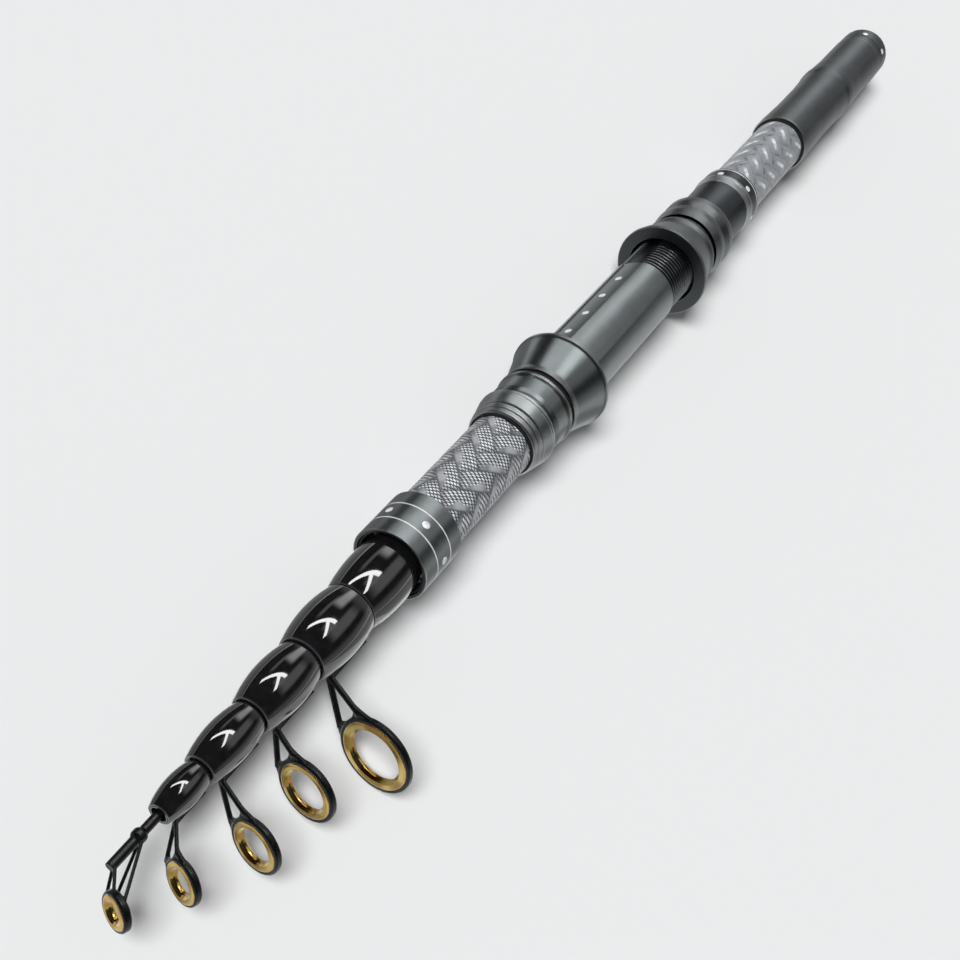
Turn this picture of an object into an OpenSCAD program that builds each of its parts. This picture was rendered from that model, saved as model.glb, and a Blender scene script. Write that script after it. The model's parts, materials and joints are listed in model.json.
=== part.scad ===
// Telescopic fishing rod, closed: a handle with a screw-down reel seat, five tubular
// sections with barrel ferrules and line guides, and a solid tip section with a tip-top.
// The rod axis is X. The butt end is at X = 0 and the tip points to +X.
// The rod lies on the rims of its two reel seat hoods and on the rim of its largest guide.

/* [Handle blank] */
// Outer diameter of the handle blank
blank_d = 18; // [16:0.5:24]
// Bore diameter of the handle blank at its mouth
mouth_d = 14.6; // [14:0.1:15]
// Length over which the radius of a blank falls by the next value
taper_run = 600; // [500:10:1500]
// Fall of a blank's radius over that length
taper_fall = 1; // [0.5:0.05:1.2]
// Radial play left where a fully drawn section seats in the next one
jam_play = 0.03; // [0.01:0.01:0.1]
// Length of a section that stays inside when it is fully drawn
draw_overlap = 45; // [30:1:80]

/* [Fits] */
// Radial gap of bonded sleeves
glue_gap = 0.03; // [0.01:0.01:0.06]
// Radial running clearance of turning and sliding pieces
run_gap = 0.08; // [0.02:0.01:0.1]
// End gap between pieces of different bodies
face_gap = 0.3; // [0.1:0.05:0.6]
// End gap of the turning cap and nut against the piece they screw up to
turn_gap = 0.1; // [0.05:0.05:0.3]
// Gap around inlaid studs, ring inserts and guide feet
inlay_gap = 0.02; // [0.01:0.01:0.05]
// Size of the small broken edges of turned pieces
edge = 0.3; // [0.1:0.05:0.5]

/* [Butt cap] */
// Visible length of the butt cap
cap_l = 14.2; // [12:0.2:24]
// Outer diameter of the butt cap
cap_d = 19.4; // [16:0.2:23]
// Rounding radius of the cap's end
cap_round = 5; // [1:0.1:6]
// Length of the cap's screwed plug
plug_l = 10; // [6:0.5:16]
// Radial wall of the cap's plug
plug_wall = 1.2; // [0.8:0.1:2]
// Width of the groove for the cap seal
seal_w = 1.6; // [1:0.1:2.4]
// Depth of the groove for the cap seal
seal_depth = 0.7; // [0.4:0.1:0.9]
// Thread relief of the plug below the blank's radius
plug_relief = 0.45; // [0.3:0.05:0.8]

/* [Rear grip] */
// Length of the rear grip
grip_l = 85.5; // [60:1:140]
// Diameter of the grip's straight rear part
grip_d = 19.8; // [19.4:0.1:24]
// Length of the grip's straight rear part
grip_pin_l = 21; // [12:1:30]
// Length of the flank behind the grip's ridge
grip_flank_l = 13; // [6:1:20]
// Width of the ridge
ridge_w = 3; // [1:0.5:6]
// Height of the ridge over the straight part
ridge_rise = 0.75; // [0.2:0.05:1.5]
// Length of the flank in front of the ridge
waist_flank_l = 12; // [6:1:18]
// Height of the waist over the straight part
waist_rise = 0.05; // [0:0.05:0.4]
// Height of the front lip over the straight part
lip_rise = 0.45; // [0.2:0.05:1]
// Length of the front lip
lip_l = 5; // [2:0.5:8]
// Length of the flank behind the front lip
lip_flank_l = 14; // [6:1:20]
// Width of the seal in front of the grip
grip_seal_w = 1; // [0.5:0.1:2]
// Height of the seals over the blank
seal_h = 0.7; // [0.3:0.05:1]

/* [Reel seat] */
// Bare blank between grip seal and seat end collar
rear_bare_l = 44.8; // [20:0.5:80]
// Length of the seat end collar's studded band
band_l = 11.7; // [8:0.1:16]
// Length of the seat end collar's plain part
plain_l = 14.6; // [8:0.1:24]
// Outer diameter of the seat body and its end collar
seat_d = 21; // [20.4:0.1:26]
// Studded band of the end collar below the seat body's surface
band_low = 0.1; // [0:0.05:0.4]
// Plain part of the end collar below the seat body's surface
plain_low = 0.3; // [0.1:0.05:0.6]
// Pitch of the seat thread
pitch = 1.5; // [1:0.25:2.5]
// Depth of the seat thread
thread_h = 0.5; // [0.3:0.05:0.6]
// Crest of the thread below the seat body's surface
thread_low = 0.4; // [0.2:0.05:0.6]
// Length of the seat body between thread and fixed hood
seat_open_l = 54.2; // [40:0.1:80]
// Width of the keyway
key_w = 6.6; // [4:0.1:8]
// Depth of the keyway under the seat body's surface
key_depth = 0.95; // [0.5:0.05:1.1]
// Gap around the hood's key in the keyway
key_gap = 0.15; // [0.05:0.05:0.3]
// Angle of the keyway from the guide side
key_angle = 137; // [110:1:250]
// Travel of the sliding hood
hood_travel = 20; // [8:0.5:30]
// Thread left in front of the hood's bore when it is screwed fully forward
thread_spare = 2.2; // [0.5:0.1:5]

/* [Sliding hood and nut] */
// Length of the lock nut
nut_l = 14.2; // [8:0.1:20]
// Wall of the lock nut at its ridges
nut_wall = 2.12; // [1.4:0.02:5]
// Depth of the groove between the nut's ridges
nut_groove = 0.8; // [0.3:0.05:1.2]
// Rounding radius of the nut's ridges
nut_bead = 2.85; // [1.5:0.05:4]
// Length of the nut's narrow rear lip
nut_lip = 1.5; // [0.5:0.1:3]
// Thickness of the washer between nut and hood
washer_t = 1.5; // [0.6:0.1:2]
// Length of the sliding hood
slide_l = 14.3; // [10:0.1:24]
// Wall of both hoods around the foot pocket at the rim
hood_wall = 3.2; // [2.2:0.1:6]
// Width of the rim band of both hoods
rim_w = 1; // [0.4:0.1:2]
// Wall of the sliding hood at its rear end
slide_wall = 1.82; // [1:0.02:4]
// Wall of the washer between nut and hood
washer_wall = 0.92; // [0.5:0.02:2]
// Height of the foot pocket over the seat body
pocket_h = 1.3; // [0.8:0.1:4]
// Widening of the fixed hood's pocket at its mouth
pocket_flare = 1; // [0:0.1:1.6]
// Depth of the foot pocket
pocket_depth = 8; // [5:0.1:12]

/* [Fixed hood] */
// Length of the fixed hood's cone
cone_l = 11.8; // [8:0.1:20]
// Width of the ridge at the cone's small end
cone_ridge_w = 2; // [1:0.1:4]
// Wall of the cone at its small end
cone_wall = 1.07; // [0.7:0.01:3]
// Width of the seal between the hood and its trim ring
hood_seal_w = 1.3; // [0.6:0.1:2.5]
// Depth of that seal below the hood's small end
hood_seal_low = 0.5; // [0.2:0.05:0.6]
// Length of the trim ring
trim_l = 10.4; // [6:0.1:16]
// Height of the trim ring's bevelled rear band over its middle
trim_rise = 0.35; // [0.1:0.05:0.8]
// Length of the winding check
check_l = 9; // [6:0.1:14]
// Rise of the winding check's bead over the cone's small end
check_rise = 0.2; // [0:0.1:2]
// Length of the winding check's front lip
check_lip_l = 2.2; // [1:0.1:5]
// Diameter of the winding check's front lip
check_lip_d = 20.3; // [19.4:0.1:23]

/* [Front collar] */
// Bare blank between winding check seal and front collar
front_bare_l = 37.2; // [20:0.5:80]
// Length of the front collar
collar_l = 17; // [12:0.1:26]
// Outer diameter of the front collar
collar_d = 21; // [20.6:0.1:26]
// Chamfer at the rear of the front collar
collar_chamfer = 0.8; // [0.2:0.1:1.2]
// Depth of the collar's mouth in front of the blank
collar_mouth_l = 4.5; // [3:0.1:8]
// Inner diameter of the mouth liner
liner_d = 17.6; // [17.2:0.1:20]
// Wall of the mouth liner
liner_wall = 0.7; // [0.4:0.05:0.9]
// Distance between the two engraved rings
engraved_gap = 6; // [4:0.1:9]
// Distance between the engraved rings of the seat end collar
band_gap = 8.3; // [4:0.1:10]
// Distance of the cap's engraved ring from its studs
cap_ring_gap = 2.3; // [1.5:0.1:4]
// Width of an engraved ring
engraved_w = 0.4; // [0.2:0.05:0.8]
// Depth of an engraved ring
engraved_h = 0.15; // [0.05:0.05:0.3]

/* [Studs] */
// Diameter of the inlaid studs
stud_d = 2.1; // [1.2:0.1:3]
// Length of an inlaid stud
stud_l = 0.8; // [0.4:0.05:0.9]
// Length of a stud of the reel seat
seat_stud_l = 0.32; // [0.2:0.02:0.4]
// Height of a stud's face over the surface it is set in
stud_proud = 0.05; // [0:0.01:0.15]
// Distance between the studs of the reel seat
stud_pitch = 11; // [6:0.5:16]
// Distance of the last seat stud from the seat body's rear edge
stud_edge = 10.5; // [4:0.5:14]
// Studs around a collar
stud_count = 6; // [3:1:8]
// Angle of the front collar's first stud from the guide side
collar_stud_angle = 24; // [0:1:60]
// Angle of the seat end collar's first stud from the guide side
band_stud_angle = 9; // [0:1:60]
// Angle of the butt cap's first stud from the guide side
cap_stud_angle = 50; // [0:1:60]

/* [Sections] */
// Wall of the five tubular sections, thickest first
section_wall = [0.6, 0.6, 0.5, 0.4, 0.3]; // [0.2:0.05:0.65]
// Length of the five barrel ferrules
ferrule_l = [21.3, 19.0, 18.6, 16.9, 12.7]; // [8:0.1:30]
// Largest diameter of the five ferrules
ferrule_d = [16.8, 15.9, 13.3, 10.7, 7.9]; // [6:0.1:20]
// Diameter of the five ferrules at the front
ferrule_front_d = [14.1, 12.6, 9.9, 7.9, 5.4]; // [4:0.1:18]
// Diameter of the five ferrules at the rear
ferrule_rear_d = [14.8, 14.0, 11.3, 8.6, 6.3]; // [5:0.1:18]

/* [Tip section] */
// Diameter of the tip section inside the tip-top's tube
tip_d = 1.7; // [1.2:0.1:1.9]
// Diameter of the tip section behind the tip-top
tip_neck_d = 2.2; // [1.9:0.1:2.4]
// Length of the tip section in front of the last ferrule
tip_out_l = 14.3; // [10:0.1:30]
// Length of the tip section's seat at its thick end
tip_seat_l = 60; // [46:1:120]
// Length of the tip-top's tube
tube_l = 9.8; // [6:0.1:16]
// Wall of the tip-top's tube
tube_wall = 0.32; // [0.2:0.02:0.6]
// Length of the collar on the tube
knob_l = 2.3; // [1:0.1:4]
// Height of the collar over the tube
knob_rise = 0.5; // [0.2:0.05:1]

/* [Guides] */
// Distance of the ring centres from the rod axis
guide_h = [26.6, 19.8, 19.1, 12.7, 6.7]; // [5:0.1:40]
// Distance of the ring centres in front of their ferrule or tube
guide_ahead = [3.4, 2.8, 2.8, 6.2, 5.0]; // [0:0.1:10]
// Forward lean of the rings
guide_lean = [8, 10, 12, 20, 22]; // [0:1:30]
// Outer diameter of the ring frames
frame_d = [20, 16, 13.8, 10.6, 8.8]; // [6:0.1:30]
// Outer diameter of the ring inserts
insert_d = [18, 14, 11.9, 9.4, 7.5]; // [4:0.1:28]
// Hole diameter of the ring inserts
hole_d = [13.2, 10, 8.1, 5.6, 4.1]; // [3:0.1:24]
// Wire diameter of the legs
leg_d = [1.5, 1.35, 1.2, 0.95, 0.75]; // [0.5:0.05:2.5]
// Angle at which the legs reach the ring frame, from the rod side
leg_angle = [24, 26, 26, 28, 34]; // [20:1:80]
// Height of the frame's shoulders over the ring frame
shoulder = 0.8; // [0:0.1:1.5]
// Angle at which the shoulders run into the ring frame, from the rod side
shoulder_angle = 66; // [50:1:90]
// Angle at which the tip-top's rear struts reach its ring frame, from the rod side
strut_angle = 85; // [60:1:90]
// Axial width of the ring frames
frame_w = 1.8; // [1:0.1:3]
// Size of the broken edges of the ring frames
frame_edge = 0.35; // [0.1:0.05:0.5]
// Axial width of the ring inserts
insert_w = 2.2; // [1.2:0.1:4]
// Straight part of the ring insert's bore
insert_bore_l = 0.8; // [0.4:0.1:2]
// Depth of the guide foot below the ferrule's largest radius
foot_sunk = 0.9; // [0.4:0.05:1]
// Thickness of the guide foot
foot_t = 1; // [0.4:0.05:1.4]
// Length of the four guide feet
foot_l = [13.3, 13.0, 11.8, 8.9]; // [5:0.1:20]
// Distance of the guide feet behind the front of their ferrules
foot_back = [1.9, 1.9, 1.7, 1.3]; // [0.5:0.1:4]
// Width of a guide foot in wire diameters
foot_wires = 1.9; // [1.6:0.1:2.4]

/* [Hidden] */
$fn = 96;

blank_r = blank_d / 2;
sleeve_r = blank_r + glue_gap;
seat_r = seat_d / 2;
on_seat_r = seat_r + glue_gap;
pocket_r = seat_r + pocket_h;
hood_r = pocket_r + hood_wall;
crest_r = seat_r - thread_low;
root_r = crest_r - thread_h;
key_floor = seat_r - key_depth;
slide_bore_r = crest_r + run_gap;
slide_rear_r = slide_bore_r + slide_wall;
plug_r = blank_r - plug_relief;

// Stations along the rod, from the butt
x_grip = cap_l + turn_gap;
x_plug = cap_l + plug_l;
x_blank = x_plug + 0.6;
x_grip_end = x_grip + grip_l;
x_grip_seal = x_grip_end + grip_seal_w;
x_end_collar = x_grip_seal + rear_bare_l;
x_band = x_end_collar + band_l;
x_thread = x_band + plain_l;
x_nut = x_thread + face_gap;
x_washer = x_nut + nut_l + turn_gap;
x_slide = x_washer + washer_t;
x_slide_rim = x_slide + slide_l;
x_body = x_slide_rim - pocket_depth + hood_travel + thread_spare;
x_rim = x_body + seat_open_l;
x_cone = x_rim + cone_l;
x_hood_end = x_cone + cone_ridge_w;
x_trim = x_hood_end + hood_seal_w;
x_check = x_trim + trim_l;
x_lip = x_check + check_l - check_lip_l;
x_check_end = x_check + check_l;
x_check_seal = x_check_end + 0.6;
x_collar = x_check_seal + front_bare_l;
x_collar_end = x_collar + collar_l;
x_mouth = x_collar_end - collar_mouth_l;

// Sections: rear and front ends, travel, radii of tube i at station x
x_rear = x_blank + 0.2;
function front(i) = i == 0 ? x_mouth : front(i - 1) + face_gap + ferrule_l[i - 1];
function travel(i) = front(i - 1) - x_rear - draw_overlap;
function bore(i, x) = i == 0 ? mouth_d / 2 + (x_mouth - x) * taper_fall / taper_run
                             : outer(i, x) - section_wall[i - 1];
function outer(i, x) = bore(i - 1, x) - travel(i) * taper_fall / taper_run - jam_play;
x_tip = front(5) + tip_out_l;
tip_r = tip_d / 2;

// Ferrule i: arc of revolution through the rear, largest and front radius
function fer_r(i) = ferrule_d[i - 1] / 2;
function fer_rear(i) = fer_r(i) - ferrule_rear_d[i - 1] / 2;
function fer_front(i) = fer_r(i) - ferrule_front_d[i - 1] / 2;
function fer_top(i) = ferrule_l[i - 1] * sqrt(fer_rear(i)) / (sqrt(fer_rear(i)) + sqrt(fer_front(i)));
function fer_arc(i) = (pow(fer_top(i), 2) + pow(fer_rear(i), 2)) / (2 * fer_rear(i));

// Guides g = 0 to 3 sit on ferrules 2 to 5, guide 4 is the tip-top
guide_roll = asin((hood_r - frame_d[0] / 2) / guide_h[0]);
function guide_x(g) = (g == 4 ? x_tip + tube_wall : front(g + 2)) + guide_ahead[g];
function foot_r(g) = fer_r(g + 2) - foot_sunk;
function foot_w(g) = foot_wires * leg_d[g];
function foot_x(g) = front(g + 2) - foot_back[g];
function ring_at(g, a, r) = [guide_x(g) - r * cos(a) * sin(guide_lean[g]),
                             guide_h[g] - r * cos(a) * cos(guide_lean[g]), r * sin(a)];

gunmetal = [0.42, 0.43, 0.42];
dark_metal = [0.2, 0.2, 0.21];
silver = [0.8, 0.8, 0.8];
black = [0.05, 0.05, 0.05];
lacquer = [0.07, 0.07, 0.08];
weave = [0.55, 0.56, 0.57];
gold = [0.72, 0.58, 0.25];

// Half profile of points [x, r], turned about the rod axis
module lathe(points) {
  rotate([0, 90, 0]) rotate_extrude() polygon([for (p = points) [p[1], p[0]]]);
}
// Half profile drawn as radius and station, turned about the rod axis
module spin() {
  rotate([0, 90, 0]) rotate_extrude() children();
}
module sleeve(x0, x1, r_in, r_out) {
  lathe([[x0, r_in], [x0, r_out], [x1, r_out], [x1, r_in]]);
}
// Cylinder along X
module bar(x0, x1, r) {
  translate([x0, 0, 0]) rotate([0, 90, 0]) cylinder(h = x1 - x0, r = r);
}
// Radial cylinder at angle a from the guide side, between two radii
module radial(x, a, r0, r1, d) {
  rotate([a, 0, 0]) translate([x, r0, 0]) rotate([-90, 0, 0]) cylinder(h = r1 - r0, d = d, $fn = 48);
}
module stud_ring(x, r, turn, grow) {
  for (k = [0 : stud_count - 1])
    radial(x, turn + k * 360 / stud_count, r + stud_proud - stud_l, r + stud_proud + grow * 2,
           stud_d + grow * 2 * inlay_gap);
}
// Shallow ring cut into a surface of radius r
module engraved(x, r) {
  sleeve(x - engraved_w / 2, x + engraved_w / 2, r - engraved_h, r + 1);
}
// Straight round wire between two points
module wire(a, b, d) {
  v = b - a;
  translate(a) rotate([0, acos(v[2] / norm(v)), atan2(v[1], v[0])])
    cylinder(h = norm(v), d = d, $fn = 32);
}
// The same with a slightly thicker ball at each end
module ball_wire(a, b, d) {
  wire(a, b, d);
  translate(a) sphere(d = d * 1.06, $fn = 32);
  translate(b) sphere(d = d * 1.06, $fn = 32);
}

module handle_blank() {
  color(weave) lathe([[x_blank, bore(0, x_blank)], [x_blank, blank_r], [x_mouth, blank_r],
                      [x_mouth, mouth_d / 2]]);
}

// Front collar
collar_r = collar_d / 2;
collar_stud_x = x_collar + collar_l / 2 + 0.3;
liner_out_r = liner_d / 2 + liner_wall;
module front_collar() {
  color(gunmetal) difference() {
    lathe([[x_collar, sleeve_r], [x_collar, collar_r - collar_chamfer],
           [x_collar + collar_chamfer, collar_r], [x_collar_end - edge, collar_r],
           [x_collar_end, collar_r - edge], [x_collar_end, liner_out_r + glue_gap],
           [x_mouth, liner_out_r + glue_gap], [x_mouth, sleeve_r]]);
    for (x = [collar_stud_x - engraved_gap / 2, collar_stud_x + engraved_gap / 2])
      engraved(x, collar_r);
    stud_ring(collar_stud_x, collar_r, collar_stud_angle, 1);
  }
}
module front_collar_studs() {
  color(silver) stud_ring(collar_stud_x, collar_r, collar_stud_angle, 0);
}
module mouth_liner() {
  color(black) sleeve(x_mouth, x_collar_end - 0.6, liner_d / 2, liner_out_r);
}

// Fixed hood with its trim ring, winding check and seals
cone_r = on_seat_r + cone_wall;
check_r = cone_r + check_rise;
module fixed_hood() {
  color(gunmetal) lathe([[x_rim, pocket_r + pocket_flare], [x_rim, hood_r - edge],
                         [x_rim + edge, hood_r], [x_rim + rim_w, hood_r],
                         [x_rim + rim_w + 2 * edge, hood_r - 0.5], [x_cone, cone_r],
                         [x_hood_end - edge, cone_r], [x_hood_end, cone_r - edge],
                         [x_hood_end, on_seat_r], [x_rim + pocket_depth, on_seat_r],
                         [x_rim + pocket_depth, pocket_r - 0.4]]);
}
module hood_seal() {
  color(black) sleeve(x_hood_end, x_trim, on_seat_r, cone_r - hood_seal_low);
}
module trim_ring() {
  color(gunmetal) lathe([[x_trim, on_seat_r], [x_trim, cone_r - edge],
                         [x_trim + 0.5, cone_r + trim_rise / 2], [x_trim + 1.6, cone_r + trim_rise / 2],
                         [x_trim + 2.4, cone_r - trim_rise / 2],
                         [x_check - 2.6, cone_r - trim_rise / 2], [x_check - 0.6, cone_r - trim_rise],
                         [x_check, cone_r - trim_rise - edge], [x_check, on_seat_r]]);
}
module winding_check() {
  bead_l = check_l - check_lip_l - 0.4;
  color(gunmetal) spin() difference() {
    union() {
      translate([0, x_check]) square([check_r - 0.8, bead_l]);
      intersection() {
        translate([0, x_check]) square([2 * check_r, bead_l]);
        translate([check_r - bead_l, x_check + bead_l / 2]) circle(r = bead_l);
      }
      translate([0, x_check]) square([check_lip_d / 2 - 0.3, check_l]);
      translate([0, x_lip]) square([check_lip_d / 2, check_lip_l - 0.3]);
    }
    translate([0, x_check - 1]) square([sleeve_r, check_l + 2]);
  }
}
module check_seal() {
  color(black) sleeve(x_check_end, x_check_seal, sleeve_r, blank_r + seal_h);
}

// Keyway along the seat, between two stations
module keyway(x0, x1) {
  rotate([key_angle, 0, 0]) translate([x0, key_floor, -key_w / 2]) cube([x1 - x0, 4, key_w]);
}
module seat_stud_set(grow) {
  for (k = [0 : 3])
    radial(x_body + stud_edge + k * stud_pitch, key_angle, key_floor + stud_proud - seat_stud_l,
           key_floor + stud_proud + grow * 2, stud_d + grow * 2 * inlay_gap);
}
module reel_seat_body() {
  color(gunmetal) difference() {
    lathe([[x_body, sleeve_r], [x_body, seat_r - edge], [x_body + edge, seat_r], [x_check, seat_r],
           [x_check, sleeve_r]]);
    keyway(x_body - 1, x_rim + pocket_depth);
    seat_stud_set(1);
  }
}
module seat_studs() {
  color(silver) seat_stud_set(0);
}
module thread_barrel() {
  turns = floor((x_body - x_thread) / pitch);
  start = x_body - turns * pitch;
  ridges = [for (k = [0 : turns - 1], q = [[0.1, 0], [0.4, 1], [0.6, 1], [0.9, 0]])
            [start + (k + q[0]) * pitch, root_r + q[1] * thread_h]];
  color(dark_metal) difference() {
    lathe(concat([[x_thread, sleeve_r], [x_thread, root_r]], ridges,
                 [[x_body, root_r], [x_body, sleeve_r]]));
    keyway(x_thread - 1, x_body + 1);
  }
}

// Seat end collar
band_r = seat_r - band_low;
plain_r = seat_r - plain_low;
band_stud_x = x_end_collar + band_l / 2;
module seat_end_collar() {
  color(dark_metal) difference() {
    lathe([[x_end_collar, sleeve_r], [x_end_collar, band_r - 2 * edge],
           [x_end_collar + 3 * edge, band_r], [x_band - 0.5, band_r], [x_band, plain_r],
           [x_thread - edge, plain_r], [x_thread, plain_r - edge], [x_thread, sleeve_r]]);
    for (x = [band_stud_x - band_gap / 2, band_stud_x + band_gap / 2])
      engraved(x, band_r);
    stud_ring(band_stud_x, band_r, band_stud_angle, 1);
  }
}
module seat_end_studs() {
  color(silver) stud_ring(band_stud_x, band_r, band_stud_angle, 0);
}

// Rear grip with the seat of the butt cap
grip_r = grip_d / 2;
x_ridge = x_grip + grip_pin_l + grip_flank_l;
module rear_grip() {
  socket_r = plug_r + run_gap;
  color(dark_metal) lathe([[x_grip, socket_r + edge], [x_grip, grip_r - 0.2], [x_grip + 0.2, grip_r],
                           [x_grip + grip_pin_l, grip_r], [x_ridge - 3, grip_r + ridge_rise * 0.6],
                           [x_ridge, grip_r + ridge_rise], [x_ridge + ridge_w, grip_r + ridge_rise],
                           [x_ridge + ridge_w + 2, grip_r + ridge_rise * 0.55],
                           [x_ridge + ridge_w + waist_flank_l, grip_r + waist_rise],
                           [x_grip_end - lip_l - lip_flank_l, grip_r + waist_rise],
                           [x_grip_end - lip_l, grip_r + lip_rise],
                           [x_grip_end - 2 * edge, grip_r + lip_rise],
                           [x_grip_end, grip_r + lip_rise - edge], [x_grip_end, sleeve_r],
                           [x_blank, sleeve_r], [x_blank, socket_r],
                           [x_grip + seal_w + 2 * edge, socket_r],
                           [x_grip + seal_w + edge, socket_r + edge]]);
}
module grip_seal() {
  color(black) sleeve(x_grip_end, x_grip_seal, sleeve_r, blank_r + seal_h);
}

// Sliding hood, washer and lock nut
module sliding_hood() {
  color(gunmetal) union() {
    lathe([[x_slide, slide_bore_r], [x_slide, slide_rear_r - edge], [x_slide + edge, slide_rear_r],
           [x_slide + 2.5, slide_rear_r], [x_slide_rim - rim_w - 3, hood_r - 3 * edge],
           [x_slide_rim - rim_w - 2 * edge, hood_r - 0.2], [x_slide_rim - rim_w, hood_r],
           [x_slide_rim - edge, hood_r], [x_slide_rim, hood_r - edge], [x_slide_rim, pocket_r],
           [x_slide_rim - pocket_depth, pocket_r], [x_slide_rim - pocket_depth, slide_bore_r]]);
    intersection() {
      rotate([key_angle, 0, 0]) translate([x_slide, key_floor + key_gap, key_gap - key_w / 2])
        cube([slide_l - pocket_depth, 2, key_w - 2 * key_gap]);
      bar(x_slide, x_slide_rim - pocket_depth, slide_bore_r + 0.4);
    }
  }
}
module hood_washer() {
  color(black) sleeve(x_washer, x_slide, slide_bore_r, slide_bore_r + washer_wall);
}
module lock_nut() {
  nut_r = slide_bore_r + nut_wall;
  color(gunmetal) spin() difference() {
    union() {
      translate([0, x_nut]) square([crest_r + 0.6, nut_l]);
      translate([0, x_nut + nut_lip]) square([nut_r - nut_groove, nut_l - nut_lip]);
      for (x = [x_nut + nut_lip + nut_bead, x_nut + nut_l - nut_bead])
        translate([nut_r - nut_bead, x]) circle(r = nut_bead);
    }
    translate([0, x_nut - 1]) square([slide_bore_r, nut_l + 2]);
  }
}

// Butt cap with plug, cushion, seal and studs
cap_r = cap_d / 2;
cap_stud_x = cap_l / 2 + 1;
module butt_cap() {
  color(dark_metal) difference() {
    spin() difference() {
      union() {
        translate([0, cap_round]) square([cap_r, cap_l - cap_round]);
        square([cap_r - cap_round, cap_l]);
        intersection() {
          translate([cap_r - cap_round, cap_round]) circle(r = cap_round);
          translate([cap_r - cap_round, 0]) square(cap_round);
        }
        translate([0, cap_l - 1]) square([plug_r, plug_l + 1]);
      }
      translate([0, cap_l + 0.6]) square([plug_r - plug_wall, plug_l]);
      translate([plug_r - seal_depth, cap_l]) square([2, seal_w + 0.2]);
    }
    engraved(cap_stud_x + cap_ring_gap, cap_r);
    stud_ring(cap_stud_x, cap_r, cap_stud_angle, 1);
  }
}
module butt_cap_studs() {
  color(silver) stud_ring(cap_stud_x, cap_r, cap_stud_angle, 0);
}
module cap_cushion() {
  color(black) bar(cap_l + 0.6, x_rear - face_gap, plug_r - plug_wall - inlay_gap);
}
module cap_seal() {
  color(black) sleeve(x_grip + 0.05, x_grip + seal_w - 0.05, plug_r - seal_depth + run_gap,
                      plug_r + run_gap + 0.1);
}

// Sections
module section_tube(i) {
  color(lacquer) lathe([[x_rear, bore(i, x_rear)], [x_rear, outer(i, x_rear)],
                        [front(i), outer(i, front(i))], [front(i), bore(i, front(i))]]);
}
module barrel(i) {
  x0 = front(i) - ferrule_l[i - 1];
  spin() difference() {
    intersection() {
      translate([fer_r(i) - fer_arc(i), x0 + fer_top(i)]) circle(r = fer_arc(i), $fn = 720);
      translate([0, x0]) square([fer_r(i) + 1, ferrule_l[i - 1]]);
    }
    polygon([[0, x0 - 1], [outer(i, x0 - 1) + glue_gap, x0 - 1],
             [outer(i, front(i) + 1) + glue_gap, front(i) + 1], [0, front(i) + 1]]);
  }
}
// Barrel ferrule with the slot for the foot of its guide
module slotted_barrel(i) {
  g = i - 2;
  color(lacquer) difference() {
    barrel(i);
    rotate([-guide_roll, 0, 0])
      translate([foot_x(g) - foot_l[g] - inlay_gap, foot_r(g) - inlay_gap, -foot_w(g) / 2 - inlay_gap])
        cube([ferrule_l[i - 1] + 1, 3, foot_w(g) + 2 * inlay_gap]);
  }
}
module section_1_blank() { section_tube(1); }
module section_2_blank() { section_tube(2); }
module section_3_blank() { section_tube(3); }
module section_4_blank() { section_tube(4); }
module section_5_blank() { section_tube(5); }
module section_1_ferrule() { color(lacquer) barrel(1); }
module section_2_ferrule() { slotted_barrel(2); }
module section_3_ferrule() { slotted_barrel(3); }
module section_4_ferrule() { slotted_barrel(4); }
module section_5_ferrule() { slotted_barrel(5); }

// Moves a profile that is turned about Z to guide g, its axis leaning towards the rod in front
module at_ring(g) {
  translate([guide_x(g), guide_h[g], 0]) rotate([0, 0, -guide_lean[g]]) rotate([0, 90, 0]) children();
}
module ring_frame(g) {
  r0 = insert_d[g] / 2 - 0.3;
  r1 = frame_d[g] / 2;
  w = frame_w / 2;
  at_ring(g) rotate_extrude()
    polygon([[r0, -w], [r1 - frame_edge, -w], [r1, -w + frame_edge], [r1, w - frame_edge],
             [r1 - frame_edge, w], [r0, w]]);
}
module ring_seat(g) {
  at_ring(g) translate([0, 0, -frame_w]) cylinder(h = 2 * frame_w, r = insert_d[g] / 2);
}
module ring_insert(g) {
  r0 = hole_d[g] / 2;
  r1 = insert_d[g] / 2 - inlay_gap;
  b = insert_bore_l / 2;
  w = insert_w / 2;
  color(gold) rotate([-guide_roll, 0, 0]) at_ring(g) rotate_extrude()
    polygon([[r0, -b], [r0, b], [r0 + (w - b) * 0.3, w - (w - b) * 0.3], [r0 + (w - b), w],
             [r1 - 0.5, w], [r1, frame_w / 2], [r1, -frame_w / 2], [r1 - 0.5, -w],
             [r0 + (w - b), -w], [r0 + (w - b) * 0.3, -w + (w - b) * 0.3]]);
}
// Leg from a point to the frame's shoulder, and the shoulder's plate in the plane of the ring
module leg(g, from, s) {
  knee_r = frame_d[g] / 2 + shoulder;
  ring_r = frame_d[g] / 2 - 0.4;
  half = asin(leg_d[g] / 2 / knee_r);
  ball_wire(from, ring_at(g, s * leg_angle[g], knee_r), leg_d[g]);
  at_ring(g) linear_extrude(height = leg_d[g] * 0.8, center = true)
    polygon([for (q = [[shoulder_angle, ring_r], [leg_angle[g] + half, knee_r],
                       [leg_angle[g] - half, knee_r], [leg_angle[g] - half, ring_r]])
             [-q[1] * sin(s * q[0]), -q[1] * cos(q[0])]]);
}
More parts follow.
